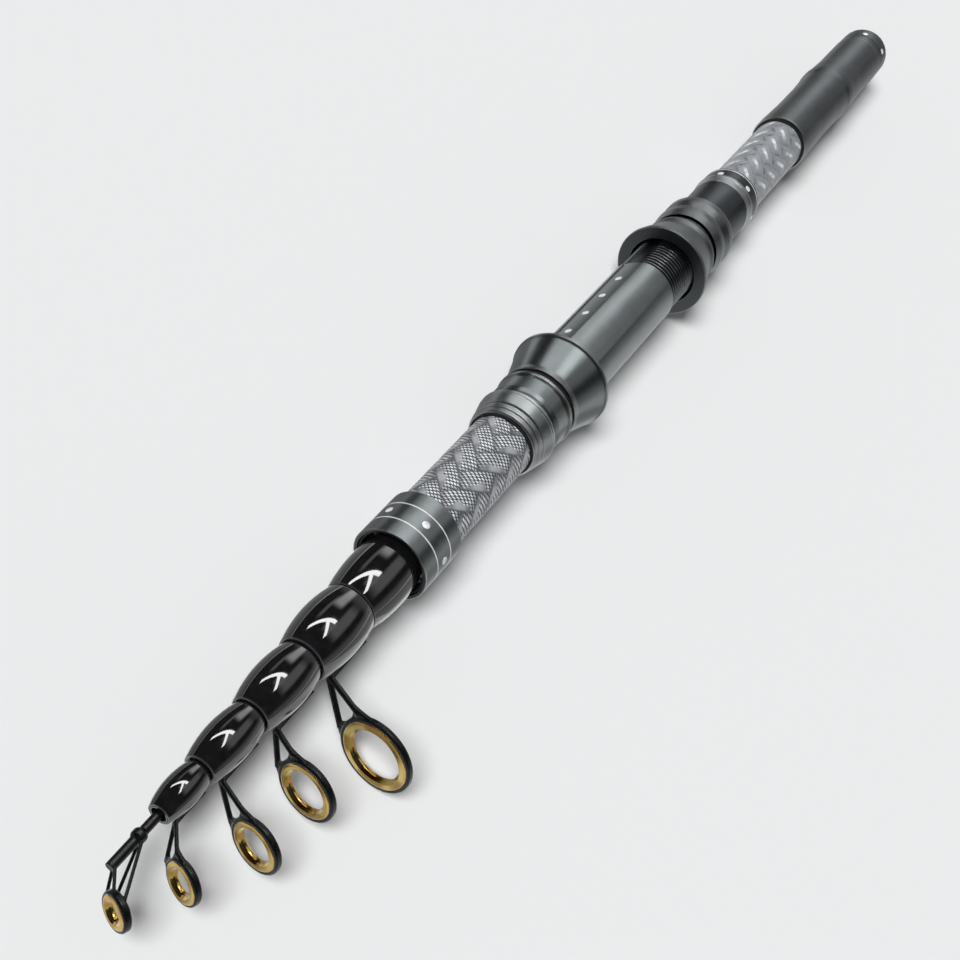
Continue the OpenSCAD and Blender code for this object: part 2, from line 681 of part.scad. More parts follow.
// Guide frame: ring, two legs and the foot strip in the ferrule's slot
module guide_frame(g) {
  base = foot_w(g) / 2 - leg_d[g] * 0.58;
  color(black) rotate([-guide_roll, 0, 0]) difference() {
    union() {
      ring_frame(g);
      for (s = [-1, 1])
        leg(g, [foot_x(g), foot_r(g) + leg_d[g] * 0.55, s * base], s);
      translate([foot_x(g) - foot_l[g], foot_r(g), -foot_w(g) / 2])
        cube([foot_l[g], foot_t, foot_w(g)]);
    }
    ring_seat(g);
  }
}
module guide_1_frame() { guide_frame(0); }
module guide_2_frame() { guide_frame(1); }
module guide_3_frame() { guide_frame(2); }
module guide_4_frame() { guide_frame(3); }
module guide_1_ring() { ring_insert(0); }
module guide_2_ring() { ring_insert(1); }
module guide_3_ring() { ring_insert(2); }
module guide_4_ring() { ring_insert(3); }

// Tip section and tip-top
tube_r = tip_r + tube_wall;
x_tube = x_tip + tube_wall - tube_l;
module tip_blank() {
  color(lacquer) lathe([[x_rear, 0], [x_rear, outer(6, x_rear)],
                        [x_rear + tip_seat_l, outer(6, x_rear + tip_seat_l)],
                        [front(5), tip_neck_d / 2], [x_tube - edge, tip_neck_d / 2],
                        [x_tube, tip_r], [x_tip, tip_r], [x_tip, 0]]);
}
module tip_top_frame() {
  x0 = x_tube;
  color(black) difference() {
    union() {
      bar(x0, x_tip + tube_wall, tube_r);
      lathe([[x0, 0], [x0, tube_r + knob_rise * 0.4], [x0 + knob_l * 0.25, tube_r + knob_rise],
             [x0 + knob_l * 0.75, tube_r + knob_rise], [x0 + knob_l, tube_r + knob_rise * 0.4],
             [x0 + knob_l, 0]]);
      rotate([-guide_roll, 0, 0]) difference() {
        union() {
          ring_frame(4);
          for (s = [-1, 1]) {
            ball_wire([x_tip - edge, tube_r * 0.5, s * tube_r * 0.6],
                      ring_at(4, s * leg_angle[4], frame_d[4] / 2 - leg_d[4] / 2), leg_d[4]);
            ball_wire([x0 + knob_l / 2, tube_r * 0.6, s * tube_r * 0.75],
                      ring_at(4, s * strut_angle, frame_d[4] / 2 - leg_d[4] / 2), leg_d[4]);
          }
        }
        ring_seat(4);
      }
    }
    bar(x0 - 1, x_tip + inlay_gap, tip_r + glue_gap);
  }
}
module tip_top_ring() { ring_insert(4); }

handle_blank();
front_collar();
front_collar_studs();
mouth_liner();
check_seal();
winding_check();
trim_ring();
hood_seal();
fixed_hood();
reel_seat_body();
seat_studs();
thread_barrel();
seat_end_collar();
seat_end_studs();
grip_seal();
rear_grip();
sliding_hood();
hood_washer();
lock_nut();
cap_seal();
butt_cap();
butt_cap_studs();
cap_cushion();
section_1_blank();
section_1_ferrule();
section_2_blank();
section_2_ferrule();
guide_1_frame();
guide_1_ring();
section_3_blank();
section_3_ferrule();
guide_2_frame();
guide_2_ring();
section_4_blank();
section_4_ferrule();
guide_3_frame();
guide_3_ring();
section_5_blank();
section_5_ferrule();
guide_4_frame();
guide_4_ring();
tip_blank();
tip_top_frame();
tip_top_ring();
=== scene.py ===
"""Looks of a closed telescopic fishing rod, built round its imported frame.

Sizes are in millimetres until a mesh is made, and in metres for the studio. The rod axis is X,
the butt end is at X = 0, and an angle round the rod is measured from +Y towards +Z.
"""
import json
import math

import bmesh
import bpy
from mathutils import Matrix, Vector

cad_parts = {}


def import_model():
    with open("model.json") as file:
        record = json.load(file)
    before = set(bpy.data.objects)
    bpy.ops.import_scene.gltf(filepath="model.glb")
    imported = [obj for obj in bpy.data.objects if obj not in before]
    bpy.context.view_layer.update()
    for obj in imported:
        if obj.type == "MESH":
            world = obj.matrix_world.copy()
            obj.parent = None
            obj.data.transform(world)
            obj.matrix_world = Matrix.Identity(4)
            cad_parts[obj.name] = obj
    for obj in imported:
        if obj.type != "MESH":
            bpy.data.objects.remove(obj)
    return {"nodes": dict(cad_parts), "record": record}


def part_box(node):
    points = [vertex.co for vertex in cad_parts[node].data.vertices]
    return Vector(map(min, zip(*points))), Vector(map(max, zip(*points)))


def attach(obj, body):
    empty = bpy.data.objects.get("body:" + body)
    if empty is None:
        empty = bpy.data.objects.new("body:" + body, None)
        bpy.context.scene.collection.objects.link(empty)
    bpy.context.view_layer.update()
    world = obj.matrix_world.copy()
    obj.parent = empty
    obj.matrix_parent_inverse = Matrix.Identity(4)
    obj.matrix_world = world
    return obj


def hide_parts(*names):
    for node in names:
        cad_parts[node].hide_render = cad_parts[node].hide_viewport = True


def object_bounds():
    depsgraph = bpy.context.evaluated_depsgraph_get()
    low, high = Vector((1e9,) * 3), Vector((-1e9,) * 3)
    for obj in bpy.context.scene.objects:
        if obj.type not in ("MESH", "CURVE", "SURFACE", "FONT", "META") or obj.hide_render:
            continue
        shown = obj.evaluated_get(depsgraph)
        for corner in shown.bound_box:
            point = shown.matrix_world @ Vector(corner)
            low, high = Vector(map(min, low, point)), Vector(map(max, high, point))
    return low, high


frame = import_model()
cad_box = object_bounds()

MM = 0.001
SEGMENTS = 160
SHARP_ANGLE = math.radians(32)

BODY_OF = {n: body for body, nodes in frame["record"]["behaviour"]["bodies"].items() for n in nodes}
SLOT_OF = {row["node"]: row["material_slot"] for row in frame["record"]["subparts"]}
MOUNTS = {row["name"]: row for row in frame["record"]["mounts"]}


def span(node):
    """First and last station of a CAD node along the rod."""
    low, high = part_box(node)
    return low.x / MM, high.x / MM


# Sizes that several pieces share
BLANK_R = 9.0
SLEEVE_R = 9.03
COLLAR_R = 10.5
SEAT_R = 10.5
ON_SEAT_R = 10.53
SLIDE_BORE_R = 10.18
HOOD_R = 15.0
POCKET_DEPTH = 8.0

# Thread and keyway of the reel seat. The flank values shape the rounded ridges of the thread
THREAD_CREST_R = 10.1
THREAD_ROOT_R = 9.6
THREAD_PITCH = 1.5
THREAD_SEGMENTS = 120
STEPS_PER_PITCH = 14
FLANK_SLOPE = 3.6
FLANK_START = 0.55
KEY_FLOOR_R = 9.55
KEY_HALF_WIDTH = 3.3
KEY_TURN = math.radians(137)
KEY_CROWN = 0.25
KEY_EDGE_TURN = 0.012

# Inlaid studs and lines
STUD_R = 1.05
STUD_LIP = 0.05
STUD_DOME = 0.1
STUD_DEPTH = 0.7
STUD_SEGMENTS = 40
STUDS_ROUND = 6
SEAT_STUDS = 4
SEAT_STUD_STEP = 11
SEAT_STUD_DEPTH = 0.3
LINE_W = 0.4
LINE_DEPTH = 0.15
LINE_RISE = 0.02

# Braid of the woven tube: strips over two, under two. The step is the way along the rod from strip to
# strip, and the crossing is the length of a strip from one strip that crosses it to the next
BRAID_STEP = 8.66
BRAID_STRIPS = 8
BRAID_PHASE = 0.318
BRAID_TURN = math.radians(8.3)
REAR_BRAID_TURN = math.radians(33)
BRAID_CROSSING = 5.59
BRAID_DOTTED = 0.64
BRAID_THREADS = 6.4
BRAID_DASH = 1.2
BRAID_RISE = 0.1
BRAID_BASE_R = BLANK_R + 0.01
BRAID_HEM_R = SLEEVE_R * 0.985
BRAID_SEGMENTS = 256
BRAID_STATION = 0.24


class Wire:
    """An output socket that can be used in arithmetic."""

    def __init__(self, shader, socket):
        self.shader = shader
        self.socket = socket

    def math(self, operation, *others):
        made = self.shader.node("Math", operation=operation)
        for socket, value in zip(made.inputs, (self,) + others):
            self.shader.put(socket, value)
        return Wire(self.shader, made.outputs[0])

    def __add__(self, other):
        return self.math("ADD", other)

    def __sub__(self, other):
        return self.math("SUBTRACT", other)

    def __rsub__(self, other):
        return self.math("MULTIPLY_ADD", -1.0, other)

    def __mul__(self, other):
        return self.math("MULTIPLY", other)

    def __mod__(self, other):
        return self.math("FLOORED_MODULO", other)

    def floor(self):
        return self.math("FLOOR")

    def fraction(self):
        return self.math("FRACT")

    def hump(self):
        """Sine arch over 0 to 1."""
        return (self * math.pi).math("SINE")

    def below(self, limit):
        return self.math("LESS_THAN", limit)

    def rise(self, start, end):
        """Smooth step from 0 at start to 1 at end."""
        made = self.shader.node("MapRange", interpolation_type="SMOOTHSTEP")
        for name, value in (("Value", self), ("From Min", start), ("From Max", end)):
            self.shader.put(made.inputs[name], value)
        return Wire(self.shader, made.outputs["Result"])

    def choose(self, yes, no):
        """yes where this is 1, no where it is 0."""
        return self * yes + (1.0 - self) * no


class Shader:
    """A procedural material: its node tree and helpers that wire it."""

    def __init__(self, name):
        self.material = bpy.data.materials.new(name)
        self.material.use_nodes = True
        self.tree = self.material.node_tree
        self.bsdf = self.tree.nodes["Principled BSDF"]

    def node(self, kind, **settings):
        made = self.tree.nodes.new("ShaderNode" + kind)
        for key, value in settings.items():
            setattr(made, key, value)
        return made

    def put(self, socket, value):
        if isinstance(value, Wire):
            self.tree.links.new(value.socket, socket)
        else:
            socket.default_value = value

    def set(self, **inputs):
        """Sets sockets of the surface shader, with spaces written as underscores."""
        for name, value in inputs.items():
            self.put(self.bsdf.inputs[name.replace("_", " ")], value)

    def place(self):
        """X, Y and Z on the piece, in millimetres."""
        coordinates = self.node("TexCoord")
        split = self.node("SeparateXYZ")
        self.tree.links.new(coordinates.outputs["Object"], split.inputs[0])
        return [Wire(self, output) * (1 / MM) for output in split.outputs]

    def vector(self, x, y, z):
        made = self.node("CombineXYZ")
        for socket, value in zip(made.inputs, (x, y, z)):
            self.put(socket, value)
        return Wire(self, made.outputs[0])

    def noise(self, vector, detail, scale=1.0):
        made = self.node("TexNoise")
        self.put(made.inputs["Vector"], vector)
        made.inputs["Scale"].default_value = scale
        made.inputs["Detail"].default_value = detail
        return Wire(self, made.outputs["Fac"])

    def wear_and_painted_highlight(self):
        """1 on the rounded outer edges of a turned piece: the mask of its rubbed edges and painted
        highlights.
        """
        made = self.node("Attribute", attribute_name="wear_and_painted_highlight")
        return Wire(self, made.outputs["Fac"])

    def mix(self, factor, first, second):
        """Mix of two colours. The node's colour sockets are its inputs 6 and 7 and its output 2."""
        made = self.node("Mix", data_type="RGBA")
        for index, value in ((0, factor), (6, first), (7, second)):
            if isinstance(value, tuple):
                value = (*value, 1.0)
            self.put(made.inputs[index], value)
        return Wire(self, made.outputs[2])

    def bump(self, height, depth, strength):
        """Bump from a height of 0 to 1 that stands for a depth in millimetres."""
        made = self.node("Bump")
        made.inputs["Strength"].default_value = strength
        made.inputs["Distance"].default_value = depth * MM
        self.put(made.inputs["Height"], height)
        self.set(Normal=Wire(self, made.outputs[0]))

    def tangent_round_axis(self):
        made = self.node("Tangent", direction_type="RADIAL", axis="X")
        self.set(Tangent=Wire(self, made.outputs[0]))


def turned_metal(name, colour, edge_colour, roughness, tip_face_shade, stretch):
    """Anodised aluminium with the fine lines that a lathe leaves, its edges lighter from rubbing and a
    painted highlight.
    """
    shader = Shader(name)
    x, y, z = shader.place()
    lines = shader.noise(shader.vector(x * 7.0, y * 0.05, z * 0.05), detail=4.0)
    cloud = shader.noise(shader.vector(x * 0.12, y * 0.2, z * 0.2), detail=2.0)
    tone = lines * 0.4 + cloud * 0.6
    darker = tuple(0.9 * c for c in colour)
    lighter = tuple(1.1 * c for c in colour)
    paint = shader.mix(tone.rise(0.25, 0.75), darker, lighter)
    # Painted shade: faces that look to the tip are mixed towards a darker colour, picked by the way they
    # face
    if tip_face_shade:
        normal = shader.node("TexCoord")
        split = shader.node("SeparateXYZ")
        shader.tree.links.new(normal.outputs["Normal"], split.inputs[0])
        facing = Wire(shader, split.outputs["X"]).rise(0.7, 0.95)
        paint = shader.mix(facing, paint, tip_face_shade)
    # Rubbed edges with a painted highlight: the mask lightens the rounded edges
    paint = shader.mix(shader.wear_and_painted_highlight() * 0.5, paint, edge_colour)
    shader.set(Base_Color=paint, Metallic=1.0, Roughness=lines * 0.1 + (roughness - 0.05))
    shader.set(Anisotropic=stretch, Anisotropic_Rotation=0.25)
    shader.tangent_round_axis()
    shader.bump(lines, 0.002, 0.4)
    return shader.material


def polished_metal(name, colour, tint):
    """Polished metal with a faint haze. Its near-white base is partly a painted reflection."""
    shader = Shader(name)
    x, y, z = shader.place()
    haze = shader.noise(shader.vector(x, y, z), detail=4.0, scale=1.7)
    # Painted reflection: a near-white base with little metal keeps the studs and lines white, as if they
    # mirrored the lamps
    shader.set(Base_Color=shader.mix(haze.rise(0.35, 0.7), colour, tint), Metallic=0.3)
    shader.set(Roughness=haze * 0.12 + 0.14)
    shader.bump(haze, 0.01, 0.3)
    return shader.material


def gold_metal(name, dark, pale, edge_colour):
    """Polished gold-coloured ring: greenish gold faces that turn amber on the rounded edges."""
    shader = Shader(name)
    x, y, z = shader.place()
    haze = shader.noise(shader.vector(x * 2.0, y * 0.4, z * 0.4), detail=3.0)
    tone = shader.noise(shader.vector(x, y, z), detail=1.0, scale=0.17).rise(0.36, 0.64)
    face = shader.mix(tone * 0.8 + haze * 0.2, dark, pale)
    paint = shader.mix(shader.wear_and_painted_highlight() * 0.7, face, edge_colour)
    shader.set(Base_Color=paint, Metallic=1.0, Roughness=haze * 0.1 + 0.13)
    shader.bump(haze, 0.004, 0.4)
    return shader.material


def lacquer(name, dark, pale, edge_colour):
    """Gloss black lacquer on wound composite, with a faint ripple."""
    shader = Shader(name)
    x, y, z = shader.place()
    cloud = shader.noise(shader.vector(x, y, z), detail=3.0, scale=0.5)
    ripple = shader.noise(shader.vector(x, y, z), detail=1.0, scale=1.3)
    paint = shader.mix(cloud.rise(0.3, 0.75), dark, pale)
    # Rubbed rims with a painted highlight: the rounded ends of a barrel are lighter
    shader.set(Base_Color=shader.mix(shader.wear_and_painted_highlight() * 0.5, paint, edge_colour))
    shader.set(Roughness=cloud * 0.06 + 0.03, IOR=1.55, Coat_Weight=1.0, Coat_Roughness=0.03)
    shader.bump(ripple, 0.004, 0.3)
    return shader.material


def black_coat(name, colour, roughness, grain, depth):
    """Black painted wire, rubber or plastic with its own grain."""
    shader = Shader(name)
    x, y, z = shader.place()
    grains = shader.noise(shader.vector(x, y, z), detail=4.0, scale=grain)
    lighter = tuple(2.2 * c for c in colour)
    edge_colour = tuple(4 * c for c in colour)
    paint = shader.mix(grains.rise(0.4, 0.8), colour, lighter)
    # Rubbed edges with a painted highlight: the rounded edges are lighter
    shader.set(Base_Color=shader.mix(shader.wear_and_painted_highlight() * 0.4, paint, edge_colour))
    shader.set(Roughness=grains * 0.2 + (roughness - 0.1), Specular_IOR_Level=0.25)
    shader.bump(grains, depth, 0.6)
    return shader.material


# Colours of the braid: dotted threads, smooth fibre and its painted glints, the paler fibre of the rear
# stretch with its painted shade and painted glints, and the painted shade in its seams
THREAD_DARK = (0.025, 0.03, 0.039)
THREAD_DOT = (0.92, 0.96, 1.0)
FIBRE_DARK = (0.15, 0.158, 0.178)
FIBRE_PALE = (0.3, 0.313, 0.34)
FIBRE_PAINTED_GLINT = (0.75, 0.77, 0.81)
REAR_FIBRE_DARK = (0.165, 0.178, 0.2)
REAR_FIBRE_PALE = (0.42, 0.44, 0.47)
REAR_PAINTED_SHADE = (0.05, 0.053, 0.06)
REAR_PAINTED_GLINT = (1.0, 1.0, 1.0)
SEAM_SHADE = (0.03, 0.03, 0.033)


def woven_fibre(name, marked=False):
    """Braid of two-tone strips: most of each strip is twisted dotted threads, the rest is smooth fibre.

    On the rear stretch its threads are paler, with painted shade at the end of each float and painted
    glints along its middle.
    """
    shader = Shader(name)
    x, y, z = shader.place()
    along = x * (1 / BRAID_STEP) + BRAID_PHASE
    turn = REAR_BRAID_TURN if marked else BRAID_TURN
    around = (z.math("ARCTAN2", y) + turn) * (BRAID_STRIPS / (2 * math.pi))
    a = along - around
    b = along + around
    i = a.floor()
    j = b.floor()
    rising = ((j - i + 1.0) % 4.0).below(1.5)
    across = rising.choose(a.fraction(), b.fraction())
    run = rising.choose((b - i + 1.0) % 4.0, (a - j + 2.0) % 4.0)
    float_middle = (run * 0.5).hump()
    spot = shader.vector(across * 3.0, run * 2.2, i * 7.3 + j * 3.1)
    patch = shader.noise(spot, detail=1.0).rise(0.38, 0.62)
    wide = float_middle.rise(1.0, 0.2) * 0.2 + patch * 0.14 + (BRAID_DOTTED - 0.07)
    dotted = (across - wide).rise(0.12, -0.12)

    thread = across * BRAID_THREADS
    inside = thread.fraction()
    dash = (run * (BRAID_CROSSING / BRAID_DASH) + thread.floor() * 0.37 + inside * 0.7).fraction()
    bright = dash.hump().rise(0.4, 0.85) * inside.hump().rise(0.2, 0.65)
    bright = bright * (patch * 0.3 + 0.7)
    dots = shader.mix(bright, THREAD_DARK, THREAD_DOT)

    fibre = shader.noise(shader.vector(across * 60.0, run * 1.2, i + j), detail=2.0)
    smooth = shader.mix(fibre.rise(0.25, 0.75), FIBRE_DARK, FIBRE_PALE)
    # Painted glints: the middle of each smooth float is mixed towards near white
    glint = shader.mix(float_middle.rise(0.7, 1.0) * 0.45, smooth, FIBRE_PAINTED_GLINT)
    paint = shader.mix(dotted, glint, dots)
    # On the rear stretch: paler threads, painted shade specks at the float ends and painted glints along
    # their middles
    if marked:
        middle = across.hump()
        pale = shader.mix(bright * 0.5 + fibre * 0.5, REAR_FIBRE_DARK, REAR_FIBRE_PALE)
        shade_speck = float_middle.rise(0.45, 0.1) * middle.rise(0.6, 0.95) * (patch * 0.6 + 0.2)
        pale = shader.mix(shade_speck, pale, REAR_PAINTED_SHADE)
        glint_stroke = float_middle.rise(0.55, 1.0) * middle.rise(0.86, 0.99) * (patch * 0.45 + 0.3)
        paint = shader.mix(glint_stroke, pale, REAR_PAINTED_GLINT)

    # Painted shade: darker towards the ends of each float, where it dives under the crossing strips, and
    # along the seams between strips
    crown = float_middle.rise(0.0, 0.6)
    seam = across.hump().rise(0.0, 0.35)
    shade = (crown * 0.65 + 0.35) * (seam * 0.55 + 0.45)
    if marked:
        shade = shade * 0.3 + 0.7
    shader.set(Base_Color=shader.mix(1.0 - shade, paint, SEAM_SHADE))
    shader.set(Metallic=(1.0 - dotted) * 0.25, Roughness=fibre * 0.15 + 0.35)
    shader.set(Coat_Weight=0.2, Coat_Roughness=0.2)
    shader.bump(dotted.choose(bright, fibre * 0.5 + 0.2) * shade, 0.06, 0.6)
    return shader.material


# How each material is made, and its looks. A turned metal has its colour, the colour of its edges, lighter
# from rubbing and a painted highlight, its roughness, the painted shade colour of the faces that look to
# the tip, and the stretch of its gloss. A black coat has its colour, its roughness, and the fineness and
# depth of its grain
RECIPES = {
    "grey_metal": (turned_metal, (0.24, 0.262, 0.266), (0.5, 0.51, 0.5), 0.34, (0.035, 0.038, 0.04), 0.7),
    "hood_metal": (turned_metal, (0.18, 0.193, 0.197), (0.4, 0.41, 0.41), 0.46, (0.08, 0.087, 0.09), 0.3),
    "nut_metal": (turned_metal, (0.17, 0.182, 0.186), (0.34, 0.35, 0.35), 0.42, (0.006, 0.006, 0.006), 0.3),
    "check_metal": (turned_metal, (0.36, 0.385, 0.39), (0.85, 0.86, 0.86), 0.4, None, 0.5),
    "bead_metal": (turned_metal, (0.34, 0.36, 0.365), (0.7, 0.71, 0.71), 0.42, None, 0.4),
    "dark_metal": (turned_metal, (0.078, 0.087, 0.092), (0.4, 0.41, 0.42), 0.36, None, 0.7),
    "grip_metal": (turned_metal, (0.15, 0.162, 0.17), (0.6, 0.6, 0.58), 0.42, None, 0.7),
    "stud_metal": (polished_metal, (0.95, 0.95, 0.96), (0.82, 0.82, 0.84)),
    "gold_ring": (gold_metal, (0.23, 0.15, 0.03), (0.78, 0.63, 0.23), (0.5, 0.22, 0.04)),
    "black_lacquer": (lacquer, (0.004, 0.004, 0.0045), (0.008, 0.008, 0.009), (0.07, 0.07, 0.073)),
    "black_wire": (black_coat, (0.003, 0.0033, 0.0036), 0.26, 2.5, 0.004),
    "black_rubber": (black_coat, (0.006, 0.006, 0.006), 0.65, 4.0, 0.03),
    "black_plastic": (black_coat, (0.005, 0.005, 0.0055), 0.5, 3.0, 0.02),
    "woven_tube": (woven_fibre,),
    "worn_weave": (woven_fibre, True),
}
MATERIALS = {name: recipe(name, *looks) for name, (recipe, *looks) in RECIPES.items()}

# Rounding of profiles: the largest share of an edge that a fillet takes, the distance of the extra point
# beside a fillet, the angle between its points, and the least turn in radians of a corner that gets the
# mark of a rubbed edge and a painted highlight
EDGE_SHARE = 0.46
SUPPORT_GAP = 0.12
ARC_STEP = math.radians(14)
WEAR_AND_HIGHLIGHT_TURN = 0.35


def rounded(corners):
    """(x, r, mark) points of a closed profile of (x, r, fillet) corners, each turned into an arc. The mark
    is the level of rubbed edge and painted highlight.
    """
    count = len(corners)
    spots = [Vector(c[:2]) for c in corners]
    area = sum(spots[k].cross(spots[(k + 1) % count]) for k in range(count))
    points = []
    for k, (x, r, fillet) in enumerate(corners):
        here = spots[k]
        back = spots[k - 1] - here
        ahead = spots[(k + 1) % count] - here
        if fillet <= 0:
            points.append((x, r, 0.0))
            continue
        angle = back.angle(ahead)
        turn = math.pi - angle
        reach = min(fillet * math.tan(turn / 2), EDGE_SHARE * back.length, EDGE_SHARE * ahead.length)
        radius = reach / math.tan(turn / 2)
        middle = (back.normalized() + ahead.normalized()).normalized()
        centre = here + middle * radius / math.cos(turn / 2)
        # Outward corners that turn enough get the mark of a rubbed edge with a painted highlight
        outward = 1.0 if back.cross(ahead) * area < 0 and turn > WEAR_AND_HIGHLIGHT_TURN else 0.0
        start = here + back.normalized() * reach
        end = here + ahead.normalized() * reach
        way = 1 if (start - centre).cross(end - centre) > 0 else -1
        if back.length * 0.5 > reach + 2 * SUPPORT_GAP:
            points.append((*(start + back.normalized() * SUPPORT_GAP), 0.0))
        steps = max(2, math.ceil(turn / ARC_STEP))
        for n in range(steps + 1):
            share = n / steps
            spoke = Matrix.Rotation(way * turn * share, 2) @ (start - centre)
            marked = outward if 0 < n < steps else outward * 0.5
            points.append((*(centre + spoke), marked))
        if ahead.length * 0.5 > reach + 2 * SUPPORT_GAP:
            points.append((*(end + ahead.normalized() * SUPPORT_GAP), 0.0))
    return points


def arc(centre_x, centre_r, radius, start, end, steps):
    """Corners without fillet along an arc, angles in degrees from +X towards outside."""
    turns = [math.radians(start + (end - start) * n / steps) for n in range(steps + 1)]
    return [(centre_x + radius * math.cos(t), centre_r + radius * math.sin(t), 0.0) for t in turns]


def scored(x, r):
    """Corners of a shallow ring cut into a surface of radius r, seen from rear to front."""
    low = r - LINE_DEPTH
    half = LINE_W / 2
    return [(x - half, r, 0.0), (x - half, low, 0.0), (x + half, low, 0.0), (x + half, r, 0.0)]


class Shape:
    """Points and faces of one piece in millimetres, with the level of rubbed edge and painted highlight at
    each point.
    """

    def __init__(self):
        self.points = []
        self.faces = []
        self.wear_and_painted_highlight = []

    def loops(self, rows, wear_and_painted_highlight=None, ring=False):
        """Skins closed loops of points, one after the other. A loop of one point is a pole."""
        starts = []
        for n, row in enumerate(rows):
            starts.append(len(self.points))
            self.points.extend(tuple(p) for p in row)
            level = wear_and_painted_highlight[n] if wear_and_painted_highlight else 0.0
            self.wear_and_painted_highlight.extend(level if isinstance(level, list) else [level] * len(row))
        pairs = list(zip(range(len(rows)), range(1, len(rows))))
        if ring:
            pairs.append((len(rows) - 1, 0))
        for low, high in pairs:
            self.skin(starts[low], len(rows[low]), starts[high], len(rows[high]))

    def skin(self, low, low_count, high, high_count):
        count = max(low_count, high_count)
        for n in range(count):
            m = (n + 1) % count
            if low_count == 1:
                self.faces.append((low, high + m, high + n))
            elif high_count == 1:
                self.faces.append((low + n, low + m, high))
            else:
                self.faces.append((low + n, low + m, high + m, high + n))

    def turn(self, profile, ring=True, segments=SEGMENTS, place=Matrix.Identity(4)):
        """Turns (x, r, mark) points about X, then moves them to their place. The mark is the level of
        rubbed edge and painted highlight.
        """
        rows = []
        for x, r, _ in profile:
            if r < 1e-6:
                rows.append([place @ Vector((x, 0.0, 0.0))])
                continue
            turns = [2 * math.pi * n / segments for n in range(segments)]
            rows.append([place @ Vector((x, r * math.cos(t), r * math.sin(t))) for t in turns])
        self.loops(rows, [p[2] for p in profile], ring)


def place_mesh(name, mesh, material, body, slot, hides, matrix=None):
    """Makes a piece of a mesh, on its body, with the nodes that it stands for. Its slot is not used."""
    mesh.materials.clear()
    mesh.materials.append(material)
    piece = bpy.data.objects.new(name, mesh)
    bpy.context.scene.collection.objects.link(piece)
    if matrix:
        piece.matrix_world = matrix
    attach(piece, body)
    if hides:
        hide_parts(*hides)
    return piece


def make(name, shape, node, slot=None, hides=None, matrix=None, finish=None):
    """Makes a piece of a shape that belongs to a CAD node, with its slot's finish or its own."""
    mesh = bpy.data.meshes.new(name)
    mesh.from_pydata([tuple(c * MM for c in p) for p in shape.points], [], shape.faces)
    solid = bmesh.new()
    solid.from_mesh(mesh)
    bmesh.ops.recalc_face_normals(solid, faces=solid.faces[:])
    solid.to_mesh(mesh)
    solid.free()
    marked = mesh.attributes.new("wear_and_painted_highlight", "FLOAT", "POINT")
    marked.data.foreach_set("value", shape.wear_and_painted_highlight)
    mesh.shade_smooth()
    mesh.set_sharp_from_angle(angle=SHARP_ANGLE)
    slot = slot or SLOT_OF[node]
    hides = (node,) if hides is None else hides
    return place_mesh(name, mesh, MATERIALS[finish or slot], BODY_OF[node], slot, hides, matrix)


def turned(node, corners, axis_ends=False, finish=None):
    """Turned piece that stands for a CAD node."""
    shape = Shape()
    shape.turn(rounded(corners), ring=not axis_ends)
    return make(node + "_turned", shape, node, finish=finish)


def line_inlay(name, node, x, r):
    """Bright ring laid into a scored line."""
    half = LINE_W / 2
    low = r - LINE_DEPTH
    top = r + LINE_RISE
    fillet = 0.2 * LINE_W
    shape = Shape()
    shape.turn(rounded([
        (x - half, low, 0), (x - half, top, fillet), (x + half, top, fillet), (x + half, low, 0)]))
    make(name, shape, node, slot="stud_metal", hides=())


def radial_place(x, r, turn):
    """Frame at a point of the surface, its X axis pointing outwards."""
    out = Vector((0, math.cos(turn), math.sin(turn)))
    forward = Vector((1, 0, 0))
    side = out.cross(forward)
    spot = Vector((x, 0, 0)) + out * r
    return Matrix([(out[k], forward[k], side[k], spot[k]) for k in range(3)] + [(0, 0, 0, 1)])


def studs(node, places, depth):
    """Domed studs at (x, r, turn) places on a surface."""
    profile = [
        (-depth, 0.0, 0.0), (-depth, STUD_R, 0.0), (0.0, STUD_R, 0.0), (STUD_LIP, STUD_R * 0.93, 0.0)]
    for share in (0.75, 0.5, 0.25, 0.0):
        profile.append((STUD_LIP + STUD_DOME * (1 - share * share), STUD_R * 0.9 * share, 0.0))
    shape = Shape()
    for x, r, turn in places:
        shape.turn(profile, ring=False, segments=STUD_SEGMENTS, place=radial_place(x, r, turn))
    make(node + "_domed", shape, node)


def stud_ring(node, x, r, first_turn):
    """Studs spaced evenly round the rod, the first at an angle in degrees."""
    turns = [math.radians(first_turn) + 2 * math.pi * k / STUDS_ROUND for k in range(STUDS_ROUND)]
    studs(node, [(x, r, t) for t in turns], STUD_DEPTH)


def butt_cap():
    x0, _ = span("butt_cap")
    joint = x0 + 14.2
    line_x = x0 + 10.4
    cap_r = 9.7
    neck_r = 7.85
    plug_ridges = 7
    corners = [
        (x0, 0.0, 0.0), *arc(x0 + 5, 4.7, 5.0, 180, 90, 14), *scored(line_x, cap_r),
        (joint, cap_r, 0.3), (joint, neck_r, 0.0), (joint + 1.8, neck_r, 0.0), (joint + 1.8, 8.4, 0.1)]
    for k in range(plug_ridges):
        ridge = joint + 2.6 + k
        corners += [
            (ridge, 8.3, 0.0), (ridge + 0.35, 8.55, 0.05),
            (ridge + 0.65, 8.55, 0.05), (ridge + 0.95, 8.3, 0.0)]
    corners += [
        (joint + 10, 8.3, 0.1), (joint + 10, 7.35, 0.1), (joint + 0.6, 7.35, 0.0), (joint + 0.6, 0.0, 0.0)]
    turned("butt_cap", corners, axis_ends=True)
    stud_ring("butt_cap_studs", x0 + 8.1, cap_r, 50)


